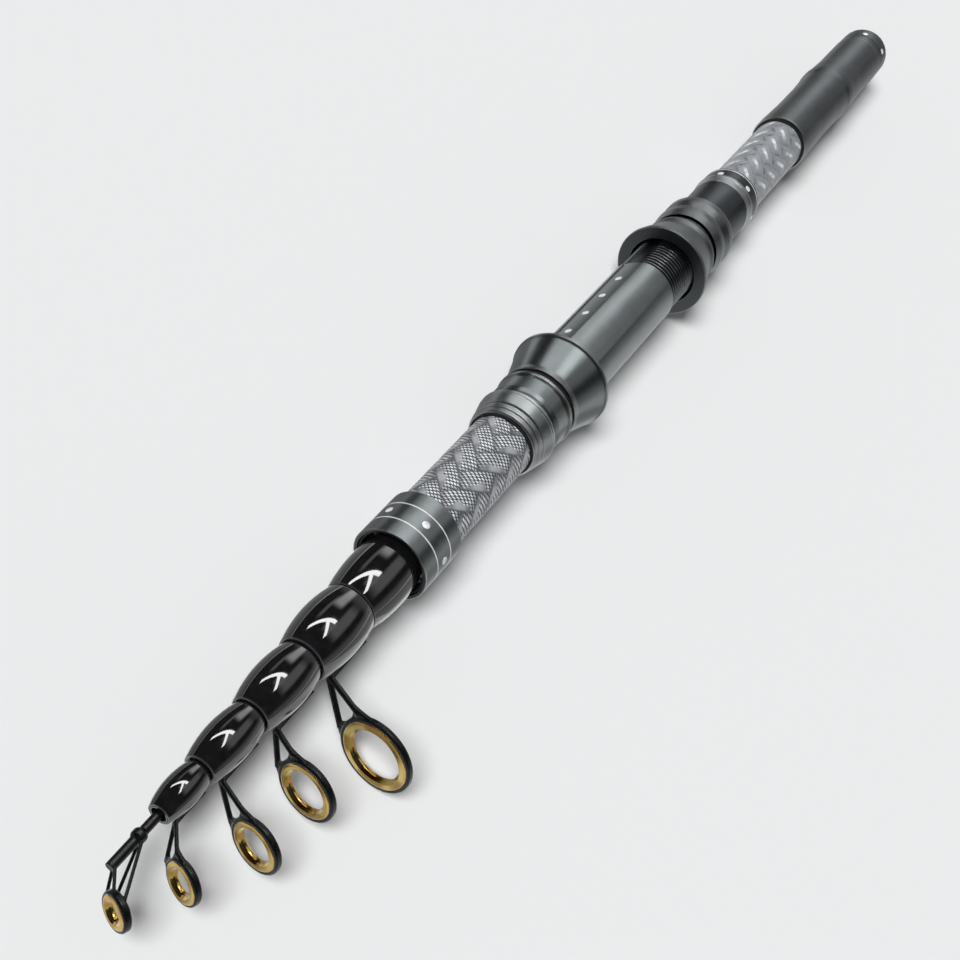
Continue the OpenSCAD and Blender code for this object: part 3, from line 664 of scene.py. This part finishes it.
def rear_grip():
    x0, x1 = span("rear_grip")
    turned("rear_grip", [
        (x0, 8.93, 0.0), (x0, 9.9, 0.25), (x0 + 21, 9.9, 9.0), (x0 + 31, 10.35, 5.0), (x0 + 34, 10.65, 1.2),
        (x0 + 37, 10.65, 1.0), (x0 + 39, 10.31, 2.5), (x0 + 49, 9.95, 12.0), (x0 + 66.5, 9.95, 20.0),
        (x0 + 80.5, 10.35, 8.0), (x1, 10.35, 0.4), (x1, SLEEVE_R, 0.0), (x0 + 10.5, SLEEVE_R, 0.0),
        (x0 + 10.5, 8.63, 0.0), (x0 + 2.2, 8.63, 0.0), (x0 + 1.9, 8.93, 0.0)])


def seat_end_collar():
    x0, x1 = span("seat_end_collar")
    line_x = x0 + 1.7
    turned("seat_end_collar", [
        (x0, SLEEVE_R, 0.0), (x0, 9.8, 0.15), (x0 + 0.9, COLLAR_R, 0.25), *scored(line_x, COLLAR_R),
        (x0 + 6.6, 10.55, 0.0), (x0 + 6.9, 10.3, 0.0), (x0 + 7.2, 10.2, 0.0), (x1 - 0.3, 10.2, 0.2),
        (x1, 9.9, 0.15), (x1, SLEEVE_R, 0.0)])
    line_inlay("seat_end_collar_line", "seat_end_collar", line_x, COLLAR_R)
    shape = Shape()
    shape.turn(rounded([
        (x0 + 6.4, 10.1, 0.0), (x0 + 6.4, 10.72, 0.2), (x0 + 7.6, 10.66, 0.3), (x0 + 7.9, 10.5, 0.1),
        (x0 + 10.4, 10.35, 0.3), (x0 + 10.7, 10.1, 0.0)]))
    make("seat_end_collar_band", shape, "seat_end_collar", hides=(), finish="bead_metal")
    stud_ring("seat_end_studs", x0 + 5.0, 10.52, 9)


def key_angles(segments):
    """Angles round the seat with extra ones where the walls of the keyway stand."""
    wall = math.asin(KEY_HALF_WIDTH / THREAD_CREST_R)
    turns = [2 * math.pi * n / segments for n in range(segments)]
    near = (-KEY_EDGE_TURN, 0.0, KEY_EDGE_TURN)
    turns += [KEY_TURN + side * (wall + step) for side in (-1, 1) for step in near]
    return sorted(t % (2 * math.pi) for t in turns)


def thread_barrel():
    x0, x1 = span("thread_barrel")
    turns = key_angles(THREAD_SEGMENTS)
    step = THREAD_PITCH / STEPS_PER_PITCH
    count = round((x1 - x0) / step)
    rows = [[(x0, SLEEVE_R * math.cos(t), SLEEVE_R * math.sin(t)) for t in turns]]
    wear_and_painted_highlight = [0.0]
    for n in range(count + 1):
        x = x0 + (x1 - x0) * n / count
        row = []
        marked = []
        for t in turns:
            phase = ((x - x0) / THREAD_PITCH - t / (2 * math.pi)) % 1.0
            flank = max(0.0, min(1.0, (0.5 - abs(phase - 0.5)) * FLANK_SLOPE - FLANK_START))
            flank = flank * flank * (3 - 2 * flank)
            r = THREAD_ROOT_R + (THREAD_CREST_R - THREAD_ROOT_R) * flank
            off = t - KEY_TURN
            if math.cos(off) > 0 and abs(r * math.sin(off)) < KEY_HALF_WIDTH:
                r = min(r, KEY_FLOOR_R / math.cos(off))
            row.append((x, r * math.cos(t), r * math.sin(t)))
            # Crests get the mark of a rubbed edge with a painted highlight, rising with the height of the
            # thread
            marked.append(max(0.0, (r - THREAD_ROOT_R) / (THREAD_CREST_R - THREAD_ROOT_R)) ** 2)
        rows.append(row)
        wear_and_painted_highlight.append(marked)
    rows.append([(x1, SLEEVE_R * math.cos(t), SLEEVE_R * math.sin(t)) for t in turns])
    shape = Shape()
    shape.loops(rows, wear_and_painted_highlight + [0.0], ring=True)
    make("thread_barrel_cut", shape, "thread_barrel")


def seat_outline(inset):
    """Loop of points round the seat body with its keyway, the round part set in by inset."""
    r = SEAT_R - inset
    top = math.sqrt(r * r - KEY_HALF_WIDTH ** 2)
    brink = 0.16
    wall = [
        (KEY_HALF_WIDTH, KEY_FLOOR_R), (KEY_HALF_WIDTH, top - brink),
        (KEY_HALF_WIDTH + 0.3 * brink, top - 0.3 * brink)]
    crown = [KEY_HALF_WIDTH * n / 10 for n in range(-9, 10)]
    bed = [(q, KEY_FLOOR_R + KEY_CROWN * (1 - (q / KEY_HALF_WIDTH) ** 2)) for q in crown]
    start = math.asin((KEY_HALF_WIDTH + brink) / r)
    steps = 150
    sweep = [start + (2 * math.pi - 2 * start) * n / steps for n in range(steps + 1)]
    round_part = [(r * math.sin(t), r * math.cos(t)) for t in sweep]
    left_wall = [(-q, h) for q, h in reversed(wall)]
    up = Vector((math.cos(KEY_TURN), math.sin(KEY_TURN)))
    side = Vector((-math.sin(KEY_TURN), math.cos(KEY_TURN)))
    return [up * h + side * q for q, h in bed + wall + round_part + left_wall]


def reel_seat_body():
    x0, x1 = span("reel_seat_body")
    key_end = span("fixed_hood")[0] + POCKET_DEPTH
    first_stud = x0 + 10.5
    inner = [p.normalized() * SLEEVE_R for p in seat_outline(0.0)]
    plain = [p.normalized() * SEAT_R for p in seat_outline(0.0)]
    # The third value of a station is its mark of rubbed edge and painted highlight, on the rounded rear
    # edge
    stations = [
        (x0, inner, 0.0), (x0, seat_outline(0.3), 0.0), (x0 + 0.05, seat_outline(0.14), 1.0),
        (x0 + 0.14, seat_outline(0.05), 1.0), (x0 + 0.3, seat_outline(0.0), 0.3),
        (x0 + 0.45, seat_outline(0.0), 0.0), (key_end, seat_outline(0.0), 0.0), (key_end, plain, 0.0),
        (x1, plain, 0.0), (x1, inner, 0.0)]
    rows = [[(x, p.x, p.y) for p in outline] for x, outline, _ in stations]
    shape = Shape()
    shape.loops(rows, [s[2] for s in stations], ring=True)
    make("reel_seat_body_keyed", shape, "reel_seat_body")
    stud_spots = [first_stud + SEAT_STUD_STEP * k for k in range(SEAT_STUDS)]
    studs("seat_studs", [(x, KEY_FLOOR_R + KEY_CROWN, KEY_TURN) for x in stud_spots], SEAT_STUD_DEPTH)


def lock_nut():
    x0, x1 = span("lock_nut")
    rear = x0 + 1.6
    front = x0 + 8.0
    ridge_r = 12.35
    turned("lock_nut", [
        (x0, SLIDE_BORE_R, 0.1), (x0, 11.0, 0.3), (x0 + 1.0, 12.1, 0.6), (rear, ridge_r, 0.8),
        (rear + 2.2, ridge_r, 1.6), (rear + 5.1, 11.3, 0.9), (rear + 5.8, 11.7, 0.5), (front, ridge_r, 0.8),
        (front + 2.2, ridge_r, 1.6), (x1 - 0.9, 11.75, 0.12), (x1 - 0.9, 10.9, 0.05), (x1, 10.9, 0.1),
        (x1, SLIDE_BORE_R, 0.1)], finish="nut_metal")


def sliding_hood():
    x0, x1 = span("sliding_hood")
    turned("sliding_hood", [
        (x0, SLIDE_BORE_R, 0.1), (x0, 11.9, 0.3), (x0 + 0.9, 12.15, 0.5), (x0 + 2.5, 11.75, 0.7),
        (x0 + 3.3, 11.8, 1.2), (x0 + 10.3, 14.1, 3.0), (x0 + 12.7, 14.8, 0.8), (x0 + 13.3, HOOD_R, 0.3),
        (x1, HOOD_R, 0.22), (x1, 11.05, 0.25), (x1 - POCKET_DEPTH, 11.4, 0.3),
        (x1 - POCKET_DEPTH, SLIDE_BORE_R, 0.1)], finish="hood_metal")


def fixed_hood():
    x0, x1 = span("fixed_hood")
    turned("fixed_hood", [
        (x0, 12.8, 0.25), (x0, HOOD_R, 0.25), (x0 + 1, HOOD_R, 0.2), (x0 + 1.6, 14.5, 0.4),
        (x0 + 11.8, 11.6, 0.8), (x1, 11.6, 0.3), (x1, ON_SEAT_R, 0.0), (x0 + POCKET_DEPTH, ON_SEAT_R, 0.0),
        (x0 + POCKET_DEPTH, 11.4, 0.2)])


def trim_ring():
    x0, x1 = span("trim_ring")
    turned("trim_ring", [
        (x0, ON_SEAT_R, 0.0), (x0, 11.2, 0.2), (x0 + 0.8, 11.775, 0.5), (x0 + 1.5, 11.7, 0.5),
        (x0 + 2.4, 11.2, 0.5), (x1 - 3.0, 11.2, 0.6), (x1 - 1.7, 10.9, 0.2), (x1 - 1.2, 10.65, 0.2),
        (x1, 10.65, 0.0), (x1, ON_SEAT_R, 0.0)])


def winding_check():
    x0, x1 = span("winding_check")
    turned("winding_check", [
        (x0, SLEEVE_R, 0.0), (x0, 11.2, 0.2), (x0 + 0.5, 11.9, 0.3), (x0 + 1.1, 11.8, 0.3),
        (x0 + 1.3, 11.65, 0.1), (x0 + 1.6, 11.8, 0.3), (x0 + 4.9, 11.05, 0.3), (x0 + 5.3, 10.65, 0.1),
        (x0 + 5.6, 10.65, 0.1), (x0 + 5.9, 10.85, 0.2), (x0 + 6.9, 10.7, 0.3), (x0 + 7.2, 10.45, 0.1),
        (x1 - 0.5, 10.35, 0.2), (x1, 10.0, 0.15), (x1, SLEEVE_R, 0.0)], finish="check_metal")


def front_collar():
    x0, x1 = span("front_collar")
    lines = (x0 + 5.8, x0 + 11.8)
    turned("front_collar", [
        (x0, SLEEVE_R, 0.0), (x0, 9.7, 0.25), (x0 + 0.8, COLLAR_R, 0.35), *scored(lines[0], COLLAR_R),
        *scored(lines[1], COLLAR_R), (x1, COLLAR_R, 0.3), (x1, 9.53, 0.15), (x1 - 4.5, 9.53, 0.0),
        (x1 - 4.5, SLEEVE_R, 0.0)])
    for k, x in enumerate(lines, 1):
        line_inlay(f"front_collar_line_{k}", "front_collar", x, COLLAR_R)
    stud_ring("front_collar_studs", x0 + 8.8, COLLAR_R, 24)


def seal(node, outer, inner):
    """Rubber ring with a rounded outside."""
    x0, x1 = span(node)
    turned(node, [(x0, inner, 0.0), (x0, outer, 0.25), (x1, outer, 0.25), (x1, inner, 0.0)])


def mouth_liner():
    x0, x1 = span("mouth_liner")
    turned("mouth_liner", [(x0, 8.8, 0.0), (x0, 9.5, 0.0), (x1, 9.5, 0.2), (x1, 8.8, 0.25)])


def braid_rise(x, turn):
    """Height of the braid at a place, from its strips' floats."""
    along = x / BRAID_STEP + BRAID_PHASE
    around = turn * BRAID_STRIPS / (2 * math.pi)
    a, b = along - around, along + around
    i, j = math.floor(a), math.floor(b)
    rising = (j - i + 1) % 4 < 1.5
    across = (a - i) if rising else (b - j)
    run = (b - i + 1) % 4 if rising else (a - j + 2) % 4
    crown = max(0.0, math.sin(math.pi * run / 2)) ** 0.6
    return BRAID_RISE * crown * (0.55 + 0.45 * math.sin(math.pi * across))


def braided_sleeve(name, x0, x1, start, finish=None):
    """Bare stretch of the handle blank, its braid standing out under the clear coat."""
    turns = [2 * math.pi * n / BRAID_SEGMENTS for n in range(BRAID_SEGMENTS)]
    hem = [(BRAID_HEM_R * math.cos(t), BRAID_HEM_R * math.sin(t)) for t in turns]
    count = round((x1 - x0) / BRAID_STATION)
    rows = [[(x0, *p) for p in hem]]
    for n in range(count + 1):
        x = x0 + (x1 - x0) * n / count
        radii = [BRAID_BASE_R + braid_rise(x, t + start) for t in turns]
        rows.append([(x, r * math.cos(t), r * math.sin(t)) for r, t in zip(radii, turns)])
    rows.append([(x1, *p) for p in hem])
    shape = Shape()
    shape.loops(rows, ring=True)
    make(name, shape, "handle_blank", hides=(), finish=finish)


# Barrel ferrules: radius at the rear, the largest and at the front, and the bore
FERRULES = [
    (7.4, 8.4, 7.05, 6.79),
    (7.0, 7.95, 6.3, 5.62),
    (5.65, 6.65, 4.95, 4.42),
    (4.3, 5.35, 3.95, 3.29),
    (3.15, 3.95, 2.7, 2.23),
]


def ferrule(number):
    """Barrel of lacquered composite, one long arc with rounded ends."""
    node = f"section_{number}_ferrule"
    rear, largest, front, bore = FERRULES[number - 1]
    x0, x1 = span(node)
    rise = math.sqrt(largest - rear)
    fall = math.sqrt(largest - front)
    top = (x1 - x0) * rise / (rise + fall)
    radius = (top * top + rise ** 4) / (2 * rise * rise)
    steps = 40
    bulge = []
    for n in range(1, steps):
        x = (x1 - x0) * n / steps
        bulge.append((x0 + x, largest - radius + math.sqrt(radius * radius - (x - top) ** 2), 0.0))
    turned(node, [(x0, bore, 0.0), (x0, rear, 0.3), *bulge, (x1, front, 0.3), (x1, bore, 0.2)])


def ring_place(mount):
    """Frame at the middle of a line guide's bore, its X axis along the bore towards the tip."""
    row = MOUNTS[mount]
    out = -Vector(row["axis"]).normalized()
    side = out.cross(Vector((0, 0, 1))).normalized()
    up = side.cross(out)
    spot = row["pos_m"]
    return Matrix([(out[k], side[k], up[k], spot[k]) for k in range(3)] + [(0, 0, 0, 1)])


def guide_ring(node, mount, outer):
    """Polished ring insert with a rounded bore."""
    hole = MOUNTS[mount]["dims"]["r_mm"]
    half = 1.1
    rim = outer - 0.02
    shape = Shape()
    shape.turn(rounded([
        (-0.4, hole, 0.5), (0.4, hole, 0.5), (half, hole + 0.7, 0.3), (half, outer - 0.5, 0.3),
        (0.9, rim, 0.2), (-0.9, rim, 0.2), (-half, outer - 0.5, 0.3), (-half, hole + 0.7, 0.3)]),
        segments=RING_SEGMENTS)
    ring = make(node + "_polished", shape, node, matrix=ring_place(mount))
    ring.visible_glossy = False


# Line guides: radii of the ring insert and of its frame, leg wire, angle of the legs, set-back of the foot
GUIDES = [
    (9.0, 10.0, 1.5, 24, 1.9),
    (7.0, 8.0, 1.35, 26, 1.9),
    (5.95, 6.9, 1.2, 26, 1.7),
    (4.7, 5.3, 0.95, 28, 1.3),
]
TIP_RING_R = 3.75
RING_SEGMENTS = 128

# Depth of a foot in its ferrule, half the spread of its wires in wire widths, height of the knees over
# the ring frame, and depth of the frame's middle below its outside
FOOT_SUNK = 0.9
FOOT_SPREAD = 0.37
KNEE_RISE = 0.8
WIRE_MIDDLE = 0.7

# Fillings beside a knee: start up the leg as a share of the frame's radius, angle on the frame, end radius
SHOULDERS = [(0.36, 70, 0.7), (0.2, 58, 0.7), (0.16, 4, 0.6)]
BEND_STEPS = 18
BALL_STEPS = 12
BALL_SEGMENTS = 16

# Voxel sizes of the smoothed frames
GUIDE_GRAIN = 0.12
TIP_GRAIN = 0.09


def shoulder_curves(number):
    """Curves of (centre, radius) balls that fill the corners between a guide's legs and its ring."""
    _, ring, wire, leg_turn, foot_back = GUIDES[number - 1]
    place = ring_place(f"guide_{number}")
    centre = place.translation / MM
    out = place.col[0].to_3d()
    radial = Vector((0, centre.y, centre.z)).normalized()
    aside = Vector((1, 0, 0)).cross(radial)
    inward = (out * radial.dot(out) - radial).normalized()
    across = out.cross(inward)
    foot_x = span(f"section_{number + 1}_ferrule")[1] - foot_back
    foot_r = FERRULES[number][1] - FOOT_SUNK + 0.55 * wire

    def on_ring(turn, r):
        turn = math.radians(turn)
        return centre + (inward * math.cos(turn) + across * math.sin(turn)) * r

    def bend(first, middle, last, start_r, end_r):
        for n in range(BEND_STEPS + 1):
            t = n / BEND_STEPS
            spot = first * (1 - t) ** 2 + middle * 2 * t * (1 - t) + last * t * t
            yield spot, start_r + (end_r - start_r) * t

    for side in (-1, 1):
        knee = on_ring(side * leg_turn, ring + KNEE_RISE)
        spread = aside * side * across.dot(aside) * FOOT_SPREAD * wire
        foot = Vector((foot_x, 0, 0)) + radial * foot_r + spread
        up = (foot - knee).normalized()
        start_r = 0.5 * wire * 0.9
        for share, turn, end_r in SHOULDERS:
            last = on_ring(side * turn, ring - WIRE_MIDDLE)
            yield from bend(knee + up * share * ring, knee, last, start_r, end_r)


def welded_frame(node, grain, balls=()):
    """Wire frame of a CAD node with its joints filled and smoothed as brazed wire is."""
    source = frame["nodes"][node]
    mesh = source.data.copy()
    solid = bmesh.new()
    solid.from_mesh(mesh)
    bmesh.ops.remove_doubles(solid, verts=solid.verts[:], dist=0.001 * MM)
    fill = Shape()
    turns = [math.radians(180 * n / BALL_STEPS) for n in range(BALL_STEPS + 1)]
    for spot, radius in balls:
        profile = [(-radius * math.cos(t), radius * math.sin(t), 0.0) for t in turns]
        fill.turn(profile, ring=False, segments=BALL_SEGMENTS, place=Matrix.Translation(spot))
    if fill.points:
        mesh.clear_geometry()
        mesh.from_pydata([tuple(c * MM for c in p) for p in fill.points], [], fill.faces)
        solid.from_mesh(mesh)
        mesh.clear_geometry()
    solid.to_mesh(mesh)
    solid.free()
    model = bpy.data.objects.new(node + "_model", mesh)
    bpy.context.scene.collection.objects.link(model)
    remesh = model.modifiers.new("fill", "REMESH")
    remesh.mode = "VOXEL"
    remesh.voxel_size = grain * MM
    smooth = model.modifiers.new("smooth", "SMOOTH")
    smooth.factor = 0.5
    smooth.iterations = 12
    ready = model.evaluated_get(bpy.context.evaluated_depsgraph_get())
    skin = bpy.data.meshes.new_from_object(ready)
    bpy.data.objects.remove(model)
    bpy.data.meshes.remove(mesh)
    skin.name = node + "_welded"
    skin.shade_smooth()
    slot = SLOT_OF[node]
    piece = place_mesh(node + "_welded", skin, MATERIALS[slot], BODY_OF[node], slot, (node,))
    piece.visible_glossy = False


butt_cap()
rear_grip()
seat_end_collar()
thread_barrel()
reel_seat_body()
lock_nut()
sliding_hood()
fixed_hood()
trim_ring()
winding_check()
front_collar()
mouth_liner()
seal("grip_seal", 9.7, SLEEVE_R)
seal("check_seal", 9.7, SLEEVE_R)
seal("hood_seal", 11.1, ON_SEAT_R)
seal("hood_washer", 11.1, SLIDE_BORE_R)
braided_sleeve("braid_rear", span("grip_seal")[1], span("seat_end_collar")[0], REAR_BRAID_TURN, "worn_weave")
braided_sleeve("braid_front", span("check_seal")[1], span("front_collar")[0], BRAID_TURN)
for number in range(1, len(FERRULES) + 1):
    ferrule(number)
for number, guide in enumerate(GUIDES, 1):
    guide_ring(f"guide_{number}_ring", f"guide_{number}", guide[0])
    welded_frame(f"guide_{number}_frame", GUIDE_GRAIN, shoulder_curves(number))
guide_ring("tip_top_ring", "tip_top", TIP_RING_R)
welded_frame("tip_top_frame", TIP_GRAIN)

# CAD nodes take their slot's material, and the tip's solid blank that of the wire at its end
for node, shown in frame["nodes"].items():
    for holder in shown.material_slots:
        holder.material = MATERIALS["black_wire" if node == "tip_blank" else SLOT_OF[node]]


# Camera at the photograph's angle, for a square image
FOCAL_PIXELS = 1445
IMAGE_PIXELS = 960
CAMERA_SPOT = Vector((572.229, 28.801, 274.022))
CAMERA_RIGHT = Vector((-0.49724, 0.77874, 0.38251))
CAMERA_UP = Vector((-0.54436, -0.62333, 0.56137))
lens = bpy.data.cameras.new("camera")
lens.sensor_fit = "HORIZONTAL"
lens.sensor_width = 36.0
lens.lens = lens.sensor_width * FOCAL_PIXELS / IMAGE_PIXELS
lens.clip_start = 0.01
lens.clip_end = 100.0
camera = bpy.data.objects.new("camera", lens)
bpy.context.scene.collection.objects.link(camera)
back = CAMERA_RIGHT.cross(CAMERA_UP).normalized()
camera.matrix_world = Matrix(
    [(CAMERA_RIGHT[k], CAMERA_UP[k], back[k], CAMERA_SPOT[k] * MM) for k in range(3)] + [(0, 0, 0, 1)])
bpy.context.scene.camera = camera

# Plain floor under the hood rims, and the ball-shaped room of the tent and its lamps
BACKGROUND = (0.83, 0.84, 0.845)
FLOOR_SIZE = 12.0
ROOM_R = 5.0
ROOM_CENTRE = Vector((0.35, 0.0, 0.0))
LAMP_REACH = 0.8 * ROOM_R
CARD_LIFT = 0.2 * MM


def stage_mesh(name, mesh, material):
    mesh.materials.append(material)
    prop = bpy.data.objects.new(name, mesh)
    bpy.context.scene.collection.objects.link(prop)
    return prop


def floor():
    shader = Shader("floor")
    shader.set(Base_Color=(*BACKGROUND, 1.0), Roughness=0.9, Specular_IOR_Level=0.0)
    level = cad_box[0].z
    half = FLOOR_SIZE / 2
    corners = [(-half, -half, level), (half, -half, level), (half, half, level), (-half, half, level)]
    mesh = bpy.data.meshes.new("floor")
    mesh.from_pydata(corners, [], [(0, 1, 2, 3)])
    stage_mesh("floor", mesh, shader.material)


def glow(name):
    """Material that only shines, and its emission node."""
    shader = Shader(name)
    shader.tree.nodes.remove(shader.bsdf)
    shine = shader.node("Emission")
    shader.tree.links.new(shine.outputs[0], shader.tree.nodes["Material Output"].inputs[0])
    return shader, shine


def only_in_gloss(prop):
    """Shown in glossy reflections alone."""
    prop.visible_camera = False
    prop.visible_diffuse = False
    prop.visible_shadow = False
    prop.visible_transmission = False
    prop.visible_volume_scatter = False


# Studio tent over the rod. A direction is the share along X and the angle round X, from +Y over the top
# to -Y. Soft boxes: middle, half widths of the bright part and of its edge along X and round X, brightness
TENT_LEVEL = 0.03
SOFT_BOXES = {
    "right": (-0.5, 0.15, 0.32, 64, 10, 24, 0.6),
    "front": (-0.36, 0.05, 0.14, 92, 8, 18, 0.7),
    "left": (-0.56, 0.1, 0.22, 141, 3, 8, 0.5),
    "top": (-0.76, 0.08, 0.18, 120, 8, 25, 1.8),
    "rear": (-1.0, 0.16, 0.26, 90, 80, 90, 0.3),
    "horizon": (-0.6, 0.5, 0.7, 0, 8, 30, 0.35),
}


def tent():
    """Dark studio tent round the rod with soft boxes in it."""
    shader, shine = glow("tent")
    x, y, z = shader.place()
    along = x * (MM / ROOM_R)
    turn = z.math("ARCTAN2", y) * (180 / math.pi)
    level = None
    for middle, flat, edge, angle, flat_turn, edge_turn, bright in SOFT_BOXES.values():
        lengthwise = (along - middle).math("ABSOLUTE").rise(edge, flat)
        roundwise = (turn - angle).math("ABSOLUTE").rise(edge_turn, flat_turn)
        box = lengthwise * roundwise * bright
        level = box if level is None else level + box
    shader.put(shine.inputs["Strength"], level + TENT_LEVEL)
    ball = bmesh.new()
    bmesh.ops.create_uvsphere(ball, u_segments=64, v_segments=32, radius=ROOM_R)
    mesh = bpy.data.meshes.new("tent")
    ball.to_mesh(mesh)
    ball.free()
    prop = stage_mesh("tent", mesh, shader.material)
    prop.location = ROOM_CENTRE
    only_in_gloss(prop)


def sky_point(along, angle, reach):
    """Point of the room in a direction: share along X, and angle round X in degrees."""
    flat = math.sqrt(1 - along * along)
    turn = math.radians(angle)
    return ROOM_CENTRE + reach * Vector((along, flat * math.cos(turn), flat * math.sin(turn)))


def strip_lamp(name, start, end, width, strength):
    """Narrow lamp between two directions, seen in gloss as a white streak."""
    shader, shine = glow(name)
    shine.inputs["Strength"].default_value = strength
    first = sky_point(*start, LAMP_REACH)
    last = sky_point(*end, LAMP_REACH)
    middle = 0.5 * (first + last) - ROOM_CENTRE
    side = (last - first).cross(middle).normalized() * width * LAMP_REACH / 2
    mesh = bpy.data.meshes.new(name)
    mesh.from_pydata([first - side, first + side, last + side, last - side], [], [(0, 1, 2, 3)])
    only_in_gloss(stage_mesh(name, mesh, shader.material))


def card(name, x0, x1, y0, y1, level):
    """Card on the floor beside the rod, seen in gloss alone."""
    shader, shine = glow(name)
    shine.inputs["Strength"].default_value = level
    z = cad_box[0].z + CARD_LIFT
    mesh = bpy.data.meshes.new(name)
    mesh.from_pydata([(x0, y0, z), (x1, y0, z), (x1, y1, z), (x0, y1, z)], [], [(0, 1, 2, 3)])
    only_in_gloss(stage_mesh(name, mesh, shader.material))


# Key light: how wide it looks, its strength and where it comes from. Level of the light from all round
SUN_WIDTH = math.radians(26)
SUN_STRENGTH = 3.1
SUN_FROM = Vector((0.6, -0.16, 1.0))
AMBIENT = 0.16


def sun():
    lamp = bpy.data.lights.new("key", "SUN")
    lamp.angle = SUN_WIDTH
    lamp.energy = SUN_STRENGTH
    key = bpy.data.objects.new("key", lamp)
    bpy.context.scene.collection.objects.link(key)
    key.rotation_euler = SUN_FROM.to_track_quat("Z", "Y").to_euler()
    key.visible_glossy = False


def world():
    """White where the camera or a mirrored ray sees it, and a softer level as light on the object."""
    space = bpy.data.worlds.new("studio")
    space.use_nodes = True
    bpy.context.scene.world = space
    tree = space.node_tree
    sky = tree.nodes["Background"]
    sky.inputs["Color"].default_value = (1.0, 1.0, 1.0, 1.0)
    path = tree.nodes.new("ShaderNodeLightPath")
    seen = tree.nodes.new("ShaderNodeMath")
    seen.operation = "MAXIMUM"
    also = tree.nodes.new("ShaderNodeMath")
    also.operation = "MAXIMUM"
    level = tree.nodes.new("ShaderNodeMath")
    level.operation = "MULTIPLY_ADD"
    level.inputs[1].default_value = 1.0 - AMBIENT
    level.inputs[2].default_value = AMBIENT
    tree.links.new(path.outputs["Is Camera Ray"], seen.inputs[0])
    tree.links.new(path.outputs["Is Glossy Ray"], seen.inputs[1])
    tree.links.new(seen.outputs[0], also.inputs[0])
    tree.links.new(path.outputs["Is Transmission Ray"], also.inputs[1])
    tree.links.new(also.outputs[0], level.inputs[0])
    tree.links.new(level.outputs[0], sky.inputs["Strength"])


floor()
tent()
card("card_left", 0.235, 0.48, -0.3, -0.0165, 0.3)
card("card_right", 0.25, 0.36, 0.024, 0.3, 0.4)
card("card_near", 0.19, 0.365, 0.002, 0.024, 0.85)
strip_lamp("strip_long", (-0.44, 84), (-0.22, 145), 0.065, 10.0)
strip_lamp("strip_short", (-0.4, 108), (-0.19, 80), 0.075, 10.0)
sun()
world()
bpy.context.scene.view_settings.view_transform = "Standard"
